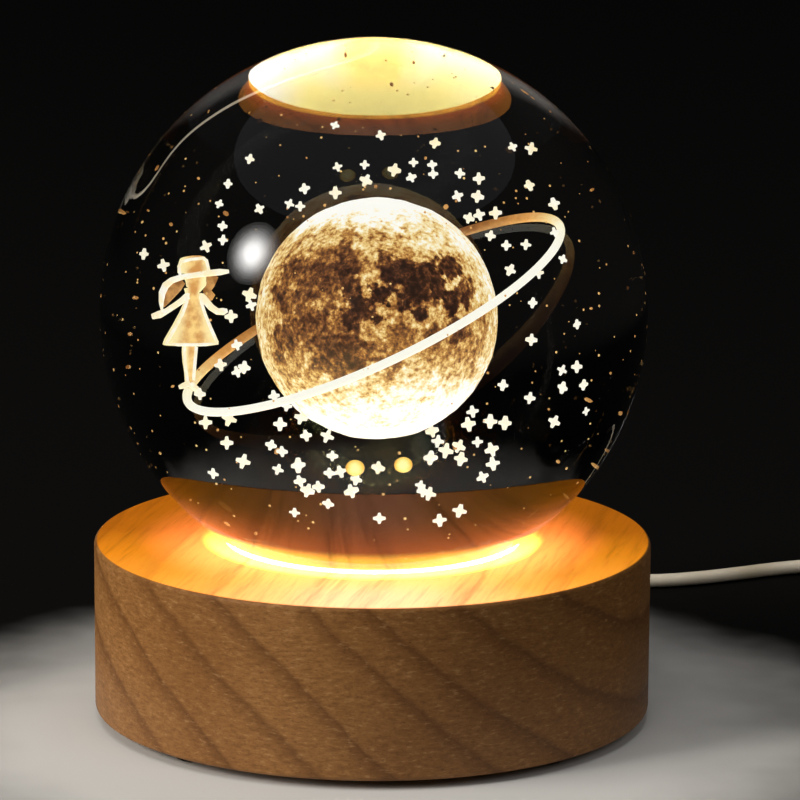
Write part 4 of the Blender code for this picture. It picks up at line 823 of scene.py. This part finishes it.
# %% The moon's face
SEAS = [
    (-0.40, 0.46, 0.25, 0.46), (-0.60, 0.32, 0.20, 0.42), (-0.75, 0.10, 0.20, 0.48),
    (-0.60, -0.10, 0.26, 0.52), (-0.36, -0.20, 0.24, 0.55), (-0.20, -0.34, 0.15, 0.62),
    (-0.44, -0.46, 0.17, 0.52), (-0.22, 0.26, 0.10, 0.66), (0.15, 0.43, 0.17, 0.92),
    (0.07, 0.52, 0.10, 0.70), (0.37, 0.24, 0.18, 1.0), (0.48, 0.36, 0.12, 0.95),
    (0.66, 0.44, 0.10, 1.0), (0.69, 0.14, 0.13, 1.0), (0.55, 0.26, 0.12, 0.9),
    (0.40, 0.04, 0.09, 1.0), (0.42, -0.08, 0.06, 0.9), (0.06, 0.22, 0.09, 1.0),
    (-0.12, 0.06, 0.13, 0.92), (0.02, -0.01, 0.07, 0.9), (-0.25, 0.00, 0.09, 0.75),
    (-0.02, 0.30, 0.06, 0.7), (0.75, -0.08, 0.12, 0.60), (0.20, -0.26, 0.22, 0.25),
    (-0.86, 0.14, 0.15, 0.55), (-0.82, -0.16, 0.15, 0.58), (-0.76, 0.38, 0.14, 0.45),
    (0.78, 0.22, 0.14, 0.85), (0.54, -0.14, 0.12, 0.35),
]
MOON_RAMP = [
    (0.0, linear(26, 12, 8)), (0.18, linear(66, 36, 22)), (0.36, linear(122, 76, 40)),
    (0.52, linear(188, 130, 62)), (0.68, linear(236, 200, 122)), (0.84, linear(252, 236, 186)),
    (1.0, linear(255, 254, 246)),
]
FAR_TINT = (1.1, 0.74, 0.40)
lunar = Finish("moon_engraving", (0.03, 0.02, 0.015), 0.8, Emission_Strength=1.0)
lunar_spot = lunar.place()
coarse = lunar.noise(lunar_spot, 190.0, 3.0, 0.6)
medium = lunar.noise(lunar_spot, 520.0, 4.0, 0.65)
grit = lunar.noise(lunar_spot, 1700.0, 4.0, 0.7)
wobble = (coarse - 0.5) * 0.42 + (medium - 0.5) * 0.42
seas = None
for right, up, size, depth in SEAS:
    facing = math.sqrt(1 - right * right - up * up)
    outwards = VIEW_RIGHT * right + VIEW_UP * up + VIEW_BACK * facing
    middle = MOON_MIDDLE + outwards * MOON_RADIUS
    far = lunar.distance(lunar_spot, middle) / MOON_RADIUS + wobble
    sea = (1 - far.step(size * 0.7, size * 1.3)) * depth
    seas = sea if seas is None else seas.math("MAXIMUM", seas, sea)
seen_right = (lunar.along(lunar_spot, VIEW_RIGHT) - MOON_MIDDLE.dot(VIEW_RIGHT)) / MOON_RADIUS
seen_up = (lunar.along(lunar_spot, VIEW_UP) - MOON_MIDDLE.dot(VIEW_UP)) / MOON_RADIUS
from_axis = (seen_right * seen_right + seen_up * seen_up) ** 0.5
# Painted highlight: a thin bright ring round the edge of the moon that faces us.
rim_light = from_axis.step(0.945, 0.985)
# Painted light: the top is brighter from the light that the ball's top reflects back down.
top_lit_from_above = (seen_up - seen_right * 0.12 + (medium - 0.5) * 0.30).step(0.76, 0.96)
upper = (seen_up + (medium - 0.5) * 0.30).step(0.48, 0.72)
bright_right = (seen_up + seen_right * 0.9 + (medium - 0.5) * 0.5).step(0.75, 1.15)
# Painted light: the foot is brighter from the LEDs below.
foot_lit_from_below = (0 - seen_up + seen_right * 0.12 + (medium - 0.5) * 0.5).step(0.38, 0.88)
brightness = (
    0.54
    + (coarse - 0.5) * 0.25
    + (medium - 0.5) * 0.75
    + (grit - 0.5) * 1.45
    - seas * 0.44
    + bright_right * 0.16
    + top_lit_from_above * 0.42
    + upper * 0.07
    + foot_lit_from_below * 0.50
    + rim_light * 0.17
)
lunar_colour = lunar.ramp(MOON_RAMP, brightness)
nearness = (lunar.along(lunar_spot, VIEW_BACK) - MOON_MIDDLE.dot(VIEW_BACK)) / MOON_RADIUS
warmed = lunar.vector("MULTIPLY", {0: lunar_colour, 1: FAR_TINT})
lunar.set(Emission_Color=lunar.blend(nearness.step(-0.90, -0.05), warmed, lunar_colour))
lunar.paint(moon)
print("seas:", len(SEAS), "on", len(lunar.tree.nodes), "nodes")

# %% [markdown]
# ## The engraved ring
#
# A thin ring tilts round the moon. It is finer behind the moon than before it, so it is a closed
# curve whose points carry their own thickness, turned into a mesh and tilted.


# %% Ring
def as_mesh(curve):
    select_only(curve)
    bpy.ops.object.convert(target="MESH")
    return bpy.context.object


RING_RADIUS = 19.74 * MM
RING_MIDDLE = BALL_MIDDLE + Vector((0.55, 0, -1.4)) * MM
RING_TILT = math.radians(-24.9)
RING_NOD = math.radians(3.2)
RING_POINTS = 160
angles = [2 * math.pi * number / RING_POINTS for number in range(RING_POINTS)]
circle = [(RING_RADIUS * math.cos(a), RING_RADIUS * math.sin(a), 0) for a in angles]
thickness = [0.44 - 0.09 * math.sin(a) for a in angles]
ring_piece = as_mesh(tube("ring_engraving", circle, MM, thickness, closed=True))
ring_piece.rotation_euler = (RING_NOD, RING_TILT, 0)
ring_piece.location = RING_MIDDLE
bpy.ops.object.transform_apply(location=True, rotation=True, scale=True)
dressed(ring_piece, "ball", "engraving", "engraved_ring")
print("ring:", len(ring_piece.data.polygons), "faces")

# %% [markdown]
# ### How engraving shines
#
# Engraved glass is dark of itself and scatters the light from below, so its colour is emission.
# The ring runs from near white in front to deep brown behind.


# %% How engraving shines
def shining(name):
    return Finish(name, (0.05, 0.04, 0.03), 0.8, Emission_Strength=1.0)


def frosted(name, near, far, grain, nearest, farthest):
    """Engraving that glows: two pairs of colours, the first in front and the second behind."""
    finish = shining(name)
    place = finish.place()
    speckle = finish.noise(place, grain, 3.0, 0.6).step(0.35, 0.65)
    depth = finish.along(place, Vector((0, 1, 0))).step(nearest, farthest)
    finish.set(
        Emission_Color=finish.blend(
            depth, finish.blend(speckle, *near), finish.blend(speckle, *far)
        )
    )
    return finish


CREAM, WHITE = linear(255, 240, 196), linear(255, 252, 236)
GOLD, TAN, BROWN = linear(236, 198, 124), linear(206, 150, 84), linear(134, 82, 36)
RING_RAMP = [
    (0.0, linear(255, 253, 238)), (0.38, linear(255, 249, 214)), (0.56, linear(240, 208, 138)),
    (0.72, linear(214, 150, 76)), (0.88, linear(138, 84, 36)), (1.0, linear(70, 38, 16)),
]
ring_finish = shining("ring_engraving")
ring_spot = ring_finish.place()
ring_depth = (ring_finish.along(ring_spot, Vector((0, 1, 0))) + 2 * MM) / (22 * MM)
ring_grain = (ring_finish.noise(ring_spot, 1400.0, 3.0) - 0.5) * 0.16
ring_finish.set(Emission_Color=ring_finish.ramp(RING_RAMP, ring_depth + ring_grain))
ring_finish.paint(ring_piece)
print("ring's ramp:", len(RING_RAMP), "colours")

# %% [markdown]
# ## The figure on the ring
#
# A small girl in a sun hat stands on the ring's end, seen without a face. Each part is a tube whose
# thickness changes. Its points are read off the picture and put into the glass by `inside`.


# %% Tools for the figure
FIGURE_PLANE = 6.5 * MM


def upright(across, down):
    """The true place of a mark that stands in the figure's upright plane."""
    towards = -FIGURE_PLANE
    for _ in range(6):
        place = inside(across, down, towards)
        towards += (FIGURE_PLANE - place.y) / VIEW_BACK.y
    return place


def limb(name, route, thicknesses, flatness=1.0, forward=0.0):
    """A round tube through places on the picture, in pixels, thickness in millimetres."""
    places = [upright(*seen) - Vector((0, forward, 0)) for seen in route]
    obj = as_mesh(tube(name, places, MM, [thickness / 2 for thickness in thicknesses]))
    if flatness != 1.0:
        edit(select="SELECT")
        bpy.ops.transform.resize(
            value=(1, flatness, 1), center_override=Vector((0, FIGURE_PLANE - forward, 0))
        )
        done()
    return obj


def joined(name, *pieces):
    deselect()
    for piece in pieces:
        piece.select_set(True)
    bpy.context.view_layer.objects.active = pieces[0]
    bpy.ops.object.join()
    bpy.context.object.name = name
    return dressed(bpy.context.object, "ball", "engraving")


print("the figure's head lies at", tuple(round(c / MM, 2) for c in upright(196, 276)), "mm")

# %% [markdown]
# ### The figure's parts
#
# Dress, head, hat and legs are flattened tubes, with fine bright edges a little before them: those
# along the dress, crown and legs are a painted highlight of the shell's silhouette. Each limb has a
# list of places and a list of thicknesses.

# %% The figure's parts
dress = limb(
    "dress",
    [(192, 287), (192.5, 293), (192.5, 300), (192, 312), (191, 326), (190, 339), (190, 343),
     (190, 344)],
    [1.5, 1.3, 1.5, 2.4, 3.6, 4.9, 5.2, 4.9], 0.32,
)
head = limb("head", [(195, 270), (196, 276), (196, 283), (193, 289)], [1.9, 2.2, 2.0, 1.4], 0.45)
crown = limb(
    "crown", [(193, 271), (193, 266), (193, 260), (193, 257.5), (193, 256.5)],
    [2.9, 2.85, 2.6, 2.4, 1.9], 0.45,
)
legs = limb(
    "legs", [(189, 344), (188.5, 352), (188.5, 362), (189, 372), (189, 381), (189, 388)],
    [1.35, 1.3, 1.15, 0.95, 0.85, 0.7], 0.6,
)
soft_parts = joined("figure_body", dress, head, crown, legs)
LINE = 0.30
# The *_edge rows are a painted highlight along the silhouette; brim, arms and feet are thin parts.
EDGES = {
    "brim": (
        1.0,
        [(160, 309), (159.5, 299), (160.5, 290), (164, 282.5), (170, 277.5), (180, 274),
         (192, 272), (206, 270), (218, 268.7), (227, 268)],
        [0.2, 0.5, 0.7, 0.72, 0.62, 0.52, 0.52, 0.60, 0.62, 0.34],
    ),
    "left_arm": (
        0.5,
        [(187, 294), (181, 299), (174, 304), (166, 309.5), (159, 313), (152, 315)],
        [0.7, 0.6, 0.55, 0.55, 0.72, 0.5],
    ),
    "right_arm": (
        0.5,
        [(200, 294), (205, 300), (210, 306), (216, 310), (222, 310), (226, 309)],
        [0.62, 0.66, 0.62, 0.6, 0.66, 0.34],
    ),
    "dress_edge": (
        0.8,
        [(186.5, 291), (185, 300), (180.5, 312), (173, 326), (165.5, 340), (164.5, 342), (176, 343),
         (190, 343.2), (204, 343), (215, 342), (214.5, 340), (208.5, 326), (203, 312), (199.5, 300),
         (199, 291)],
        [LINE] * 15,
    ),
    "crown_edge": (
        0.7,
        [(179, 272), (178, 264), (180.5, 259.5), (190, 256.8), (202, 255.6), (205.5, 258),
         (207.5, 268)],
        [LINE] * 7,
    ),
    "left_leg_edge": (0.4, [(183, 346), (183.5, 356), (184.5, 368), (186, 380)], [LINE] * 4),
    "right_leg_edge": (0.4, [(195, 346), (194, 356), (193, 368), (192, 380)], [LINE] * 4),
    "left_foot": (0.2, [(189, 383), (183, 385.5), (178.5, 387)], [0.6, 0.55, 0.36]),
    "right_foot": (0.2, [(189, 384), (195, 389), (200, 393)], [0.6, 0.6, 0.36]),
}
edges = [
    limb(name, route, thicknesses, forward=before * MM)
    for name, (before, route, thicknesses) in EDGES.items()
]
bright_parts = joined("figure_edges", *edges)
hair = joined(
    "figure_hair",
    limb("hair_left", [(182, 279), (176, 285), (171, 292), (167, 300), (164, 306)],
         [1.1, 1.45, 1.3, 0.8, 0.3], 0.5),
    limb("hair_right", [(206, 275), (212, 279), (210.5, 284), (207, 290), (210, 296), (210, 300)],
         [0.9, 1.25, 0.8, 0.8, 0.95, 0.35], 0.5),
)
print("figure:", sum(len(p.data.polygons) for p in (soft_parts, bright_parts, hair)), "faces")

# %% [markdown]
# ### The figure's shine
#
# The body is golden in its middle and paler at its sides, a painted highlight where the engraved
# shell is seen edge-on, so its colour goes by the distance from an upright line, against the half
# width at each height.

# %% The figure's shine
body = shining("dress_engraving")
body_spot = body.place()
body_x, _, body_z = body.split(body_spot)
WIDTHS = [(256, 1.5), (270, 1.6), (271, 1.15), (284, 1.0), (292, 0.75), (343, 2.6), (345, 0.72),
          (388, 0.45)]
foot, top = upright(190, 388), upright(190, 256)
width_stops = [
    ((upright(190, down).z - foot.z) / (top.z - foot.z), (half / 3, half / 3, half / 3))
    for down, half in reversed(WIDTHS)
]
level = (body_z - foot.z) / (top.z - foot.z)
half_width = body.ramp(width_stops, level) * (3 * MM)
aside = body_x - (level * (top.x - foot.x + 0.5 * MM) + foot.x)
from_middle = aside.math("ABSOLUTE", aside) / half_width
patches = body.noise(body_spot, 900.0, 3.0, 0.6).step(0.36, 0.66)
# Painted highlight: paler towards the sides, where the engraved shell is seen edge-on.
body.set(
    Emission_Color=body.blend(
        from_middle.step(0.20, 0.90),
        body.blend(patches, linear(212, 148, 78), linear(250, 212, 134)),
        linear(255, 240, 178),
    )
)
body.paint(soft_parts)
frosted("limb_engraving", (CREAM, WHITE), (CREAM, WHITE), 900.0, 0.0, 1.0).paint(bright_parts)
frosted("hair_engraving", (BROWN, TAN), (BROWN, TAN), 700.0, 0.0, 1.0).paint(hair)
for figure_piece in (soft_parts, bright_parts, hair):
    figure_piece.visible_glossy = False
print("body's shine:", len(body.tree.nodes), "nodes")

# %% [markdown]
# ## Stars
#
# Each star is a small cross with four blunt arms. We model it once: a cube whose four sides are
# pulled out and narrowed.

# %% One star
STAR_CORE, STAR_ARM, STAR_TIP = 0.33, 0.31, 0.60


def model_star(size):
    bpy.ops.mesh.primitive_cube_add(size=STAR_CORE * size, location=(0, 0, 0))
    mesh = bpy.context.object.data
    for direction in (Vector((1, 0, 0)), Vector((-1, 0, 0)), Vector((0, 0, 1)), Vector((0, 0, -1))):
        edit("FACE", "DESELECT")
        done()
        for face in mesh.polygons:
            off_axis = face.center.cross(direction).length
            face.select = face.normal.dot(direction) > 0.9 and off_axis < 0.01 * size
        edit("FACE")
        bpy.ops.mesh.extrude_region_move(
            TRANSFORM_OT_translate={"value": tuple(direction * STAR_ARM * size)}
        )
        bpy.ops.transform.resize(value=(STAR_TIP, STAR_TIP, STAR_TIP))
        done()
    return bpy.context.object


star = model_star(1.35 * MM)
print("one star:", len(star.data.polygons), "faces")

# %% [markdown]
# ### Where the stars are
#
# `STARS` lists where they are seen, in pixels across and down. Depth and tilt are draws from a
# fixed seed. They are smaller towards the ball's top, and aren't mirrored, or they would fill the
# glass with grey ghosts.

# %% Stars
STARS = [
    (252, 160), (231, 185), (224, 206), (261, 209), (306, 189), (339, 168), (336, 191),
    (291, 204), (302, 207), (366, 167), (367, 178), (382, 135), (437, 141), (414, 165),
    (412, 179), (396, 167), (432, 168), (433, 177), (460, 175), (458, 197), (480, 195),
    (482, 176), (512, 149), (533, 148), (531, 185), (555, 204), (499, 211), (480, 215),
    (470, 218), (552, 234), (491, 236), (506, 246), (526, 245), (561, 260), (511, 270),
    (540, 273), (530, 303), (573, 324), (227, 241), (226, 227), (207, 246), (165, 265),
    (147, 254), (248, 294), (254, 305), (232, 316), (337, 129), (245, 367), (277, 394),
    (289, 404), (300, 420), (280, 425), (274, 442), (307, 435), (285, 448), (328, 436),
    (434, 433), (438, 440), (472, 410), (470, 425), (493, 423), (506, 423), (476, 439),
    (502, 384), (461, 448), (493, 450), (205, 423), (228, 420), (240, 344), (220, 365),
    (239, 371), (202, 393), (227, 443), (217, 470), (243, 462), (280, 467), (298, 467),
    (301, 480), (308, 491), (319, 487), (330, 499), (331, 470), (341, 472), (334, 453),
    (352, 492), (357, 479), (297, 508), (380, 515), (379, 470), (420, 481), (432, 459),
    (430, 494), (423, 488), (440, 519), (460, 510), (448, 453), (463, 461), (482, 475),
    (494, 464), (529, 397), (554, 421), (562, 387), (582, 409), (582, 384), (575, 366),
    (559, 369), (534, 340),
]
STAR_DEPTH_MM = 11
STAR_REACH = 34 * MM
picker = random.Random(11)
face_front = VIEW_BACK.to_track_quat("-Y", "Z")


def scatter(name, model, places, tilt, smallest, largest, top_share=1.0):
    """Copies of a model at places, each tilted and scaled a little, joined into one piece."""
    copies = []
    for place in places:
        copy = model.copy()
        copy.data = model.data.copy()
        bpy.context.scene.collection.objects.link(copy)
        turn = Euler([math.radians(picker.uniform(-tilt, tilt)) for _ in range(3)])
        height = (place.z - BALL_MIDDLE.z) / BALL_RADIUS * 0.5 + 0.5
        scale = picker.uniform(smallest, largest) * (1 + (top_share - 1) * height)
        copy.matrix_world = Matrix.LocRotScale(
            place, face_front @ turn.to_quaternion(), Vector((scale, scale, scale))
        )
        copies.append(copy)
    bpy.data.objects.remove(model, do_unlink=True)
    piece = joined(name, *copies)
    bpy.ops.object.transform_apply(location=True, rotation=True, scale=True)
    return piece


def star_place(across, down):
    """A star that would come too near the ball's skin goes to its middle plane instead."""
    place = inside(across, down, picker.uniform(-STAR_DEPTH_MM, STAR_DEPTH_MM) * MM)
    return place if (place - BALL_MIDDLE).length < STAR_REACH else inside(across, down)


stars = scatter(
    "star_engraving", star, [star_place(*seen) for seen in STARS], 24, 1.0, 1.2, top_share=0.62
)
frosted("star_engraving", (WHITE, WHITE), (CREAM, WHITE), 300.0, -10 * MM, 16 * MM).paint(stars)
stars.visible_glossy = False
print("stars:", len(STARS), "faces of stars:", len(stars.data.polygons))

# %% [markdown]
# ### Dust
#
# Tiny grains with twenty faces fill the glass from the same seed, outside the moon's
# neighbourhood.

# %% Dust
DUST_GRAINS = 420
DUST_SIZE = 0.16 * MM
DUST_FROM, DUST_TO = 0.42, 0.93


def dust_place():
    """A random place in the glass, outside the moon's neighbourhood."""
    while True:
        place = Vector([picker.uniform(-1, 1) for _ in range(3)])
        if DUST_FROM < place.length < DUST_TO:
            return BALL_MIDDLE + place * BALL_RADIUS


bpy.ops.mesh.primitive_ico_sphere_add(subdivisions=1, radius=DUST_SIZE, location=(0, 0, 0))
grain = bpy.context.object
dust = scatter("dust_engraving", grain, [dust_place() for _ in range(DUST_GRAINS)], 90, 0.4, 1.2)
frosted("dust_engraving", (TAN, GOLD), (BROWN, TAN), 200.0, -10 * MM, 16 * MM).paint(dust)
print("dust:", len(dust.data.polygons), "faces")

# %% [markdown]
# ## Two painted glints
#
# Near the ball's foot are two small golden glints of light, made as glowing lens shapes that are
# palest in the middle: painted highlights set into the glass.

# %% Two painted glints
GLINT_RAMP = [
    (0.0, linear(255, 253, 214)), (0.60, linear(255, 240, 150)), (0.82, linear(250, 204, 78)),
    (1.0, linear(206, 132, 24)),
]


def glint_dot(name, across, down, size):
    """A painted glint: a small golden lens shape that glows, domed on both sides, where the picture
    shows it.
    """
    bpy.ops.mesh.primitive_ico_sphere_add(subdivisions=3, radius=size, location=(0, 0, 0))
    mark = bpy.context.object
    edit(select="SELECT")
    bpy.ops.transform.resize(value=(1.0, 0.45, 0.86))
    bpy.ops.transform.translate(value=inside(across, down))
    done()
    bpy.ops.object.shade_smooth()
    mark.name = name
    golden = shining(f"{name}_engraving")
    golden_spot = golden.place()
    outwards = golden.distance(golden_spot, inside(across, down)) / size
    uneven = (golden.noise(golden_spot, 2500.0, 3.0) - 0.5) * 0.2
    golden.set(Emission_Color=golden.ramp(GLINT_RAMP, outwards + uneven))
    golden.paint(mark)
    return dressed(mark, "ball", "engraving")


left_glint = glint_dot("left_glint", 356, 467, 0.95 * MM)
right_glint = glint_dot("right_glint", 404, 464, 0.92 * MM)
print("round marks:", len(left_glint.data.polygons) + len(right_glint.data.polygons), "faces")

# %% [markdown]
# ## The light module
#
# The window under the ball is frosted plastic with six yellow LEDs behind it.

# %% Light module
window_light = Finish("lit_window", linear(250, 240, 205), 0.5, Emission_Strength=5.5)
window_spot = window_light.place()
window_x, window_y, _ = window_light.split(window_spot)
window_fade = ((window_x * window_x + window_y * window_y) ** 0.5).step(2 * MM, 11 * MM)
window_light.set(
    Emission_Color=window_light.blend(window_fade, linear(255, 228, 140), linear(255, 222, 120))
)
window_light.paint(nodes["light_window"])
print("window:", len(window_light.tree.nodes), "nodes")

# %% [markdown]
# ## The rest of the frame
#
# Every other piece keeps its exact shape. Moulded plastic has a fine pebble and a slightly uneven
# tone, and metal shows the direction in which it was drawn or turned.


# %% Two kinds of surface
def named(*starts):
    """The frame's pieces whose names begin with one of these."""
    return [nodes[name] for name in nodes if name.startswith(starts)]


def moulded(name, pale, deep, roughness, pebble, height):
    """Plastic or rubber: an uneven tone, rubbed patches and a fine pebble."""
    finish = Finish(name, pale, roughness, Specular_IOR_Level=0.4)
    place = finish.place()
    tone = finish.noise(place, 130.0, 4.0, 0.6).step(0.35, 0.7)
    rubbed = finish.noise(place, 420.0, 3.0).step(0.55, 0.75)
    finish.set(
        Base_Color=finish.blend(tone, pale, deep),
        Roughness=roughness + (tone * 0.08 - rubbed * 0.14),
    )
    return finish.bump(finish.noise(place, pebble, 3.0), 0.35, height)


def drawn_metal(name, pale, deep, roughness, grain_way):
    """Bare metal: fine lines along one way, dull stains and worn, brighter spots."""
    finish = Finish(name, pale, roughness, 1.0)
    place = finish.place()
    stretched = [axis * way for axis, way in zip(finish.split(place), grain_way, strict=True)]
    lines = finish.noise(finish.join(*stretched), 3000.0, 3.0, 0.7)
    stain = finish.noise(place, 500.0, 3.0).step(0.5, 0.8)
    finish.set(
        Base_Color=finish.blend(stain * 0.7, pale, deep),
        Roughness=roughness + (lines * 0.16 + stain * 0.14 - 0.08),
    )
    return finish.bump(lines, 0.25, 0.02 * MM)


print("switch pieces:", len(named("switch_")))

# %% [markdown]
# ### Plastic, rubber and metal
#
# Each row is one material: its two tones, its roughness, the scale and height of its pebble, or
# the way of a metal's grain, and how the names of its pieces begin.

# %% Plastic, rubber and metal
PLASTICS = [
    ("cream_shell", (234, 226, 210), (222, 210, 188), 0.34, 2400.0, 0.02,
     ["switch_lower", "switch_upper", "switch_relief", "plug_body"]),
    ("rocker_face", (240, 234, 220), (226, 216, 196), 0.26, 3200.0, 0.012, ["switch_rocker"]),
    ("white_shell", (236, 236, 230), (222, 220, 208), 0.5, 1800.0, 0.03,
     ["lamp_cup", "cord_clamp", "plug_tongue"]),
    ("black_cover", (38, 37, 38), (26, 26, 28), 0.55, 1300.0, 0.05, ["bottom_cover"]),
    ("black_foot", (30, 29, 29), (44, 42, 41), 0.78, 900.0, 0.05, ["foot_pad", "cable_bush"]),
    ("red_wire_skin", (178, 20, 18), (140, 10, 12), 0.36, 1500.0, 0.01,
     ["red_wire", "switch_wire_in", "switch_wire_out"]),
    ("black_wire_skin", (18, 18, 20), (34, 34, 36), 0.36, 1500.0, 0.01,
     ["black_wire", "switch_wire_through"]),
    ("inner_jacket", (228, 219, 201), (212, 200, 178), 0.42, 900.0, 0.02, ["inner_cord"]),
]
METALS = [
    ("zinc_steel", (196, 198, 202), (150, 150, 148), 0.30, (1, 1, 0.1),
     ["cover_screw", "cup_screw", "board_screw", "clamp_screw", "switch_screw", "rocker_pin"]),
    ("rolled_brass", (214, 176, 96), (160, 116, 52), 0.32, (0.1, 1, 1),
     ["switch_bridge", "switch_contact"]),
    ("bright_nickel", (206, 204, 198), (168, 164, 156), 0.22, (1, 0.1, 1), ["plug_shell"]),
    ("contact_gold", (226, 184, 92), (190, 140, 56), 0.24, (1, 0.1, 1), ["plug_contact"]),
]
for name, pale, deep, roughness, pebble, height, starts in PLASTICS:
    plastic = moulded(name, linear(*pale), linear(*deep), roughness, pebble, height * MM)
    plastic.paint(*named(*starts))
for name, pale, deep, roughness, grain_way, starts in METALS:
    metal = drawn_metal(name, linear(*pale), linear(*deep), roughness, grain_way)
    metal.paint(*named(*starts))
print("plastics:", len(PLASTICS), "metals:", len(METALS))

# %% [markdown]
# ### Strap, board and LEDs
#
# The strap is woven: two sine waves cross like warp and weft. White solder mask lies over the
# board's faint tracks, and each LED glows through yellow phosphor.

# %% The strap
strap = Finish("woven_strap", linear(24, 24, 25), 0.85, Sheen_Weight=0.3)
sx, sy, sz = strap.split(strap.place())
warp = (sx * 5200.0 + sz * 5200.0).sine()
weft = (sy * 5200.0 - sz * 2600.0).sine()
fuzz = strap.noise(strap.place(), 2200.0, 3.0)
strap.set(
    Base_Color=strap.blend(fuzz.step(0.4, 0.7), linear(22, 22, 23), linear(52, 51, 50)),
    Roughness=0.78 + fuzz * 0.15,
)
strap.bump(warp * weft + fuzz * 0.6, 0.6, 0.06 * MM)
strap.paint(*named("cord_tie"))
print("strap:", len(strap.tree.nodes), "nodes")

# %% Board and LEDs
board = Finish("solder_mask", linear(232, 236, 230), 0.35, Specular_IOR_Level=0.5)
board_place = board.place()
board_x = board.split(board_place)[0]
lines = (board_x * 2100.0).sine().step(0.90, 0.96)
tracks = lines * board.noise(board_place, 260.0).step(0.45, 0.5)
board.set(
    Base_Color=board.blend(tracks, linear(232, 236, 230), linear(206, 214, 200)),
    Roughness=0.30 + board.noise(board_place, 700.0) * 0.2,
)
board.bump(tracks, 0.4, 0.03 * MM)
board.paint(*named("led_board"))
phosphor = Finish("led_phosphor", linear(240, 196, 70), 0.5, Emission_Strength=6.0)
grains = phosphor.noise(phosphor.place(), 5200.0, 2.0).step(0.3, 0.7)
phosphor.set(
    Emission_Color=phosphor.blend(grains, linear(255, 206, 96), linear(255, 236, 170)),
    Base_Color=phosphor.blend(grains, linear(236, 186, 60), linear(250, 214, 110)),
)
phosphor.paint(*[nodes[f"led_{number}"] for number in range(1, 7)])
print("board:", len(board.tree.nodes), "nodes, LED:", len(phosphor.tree.nodes), "nodes")
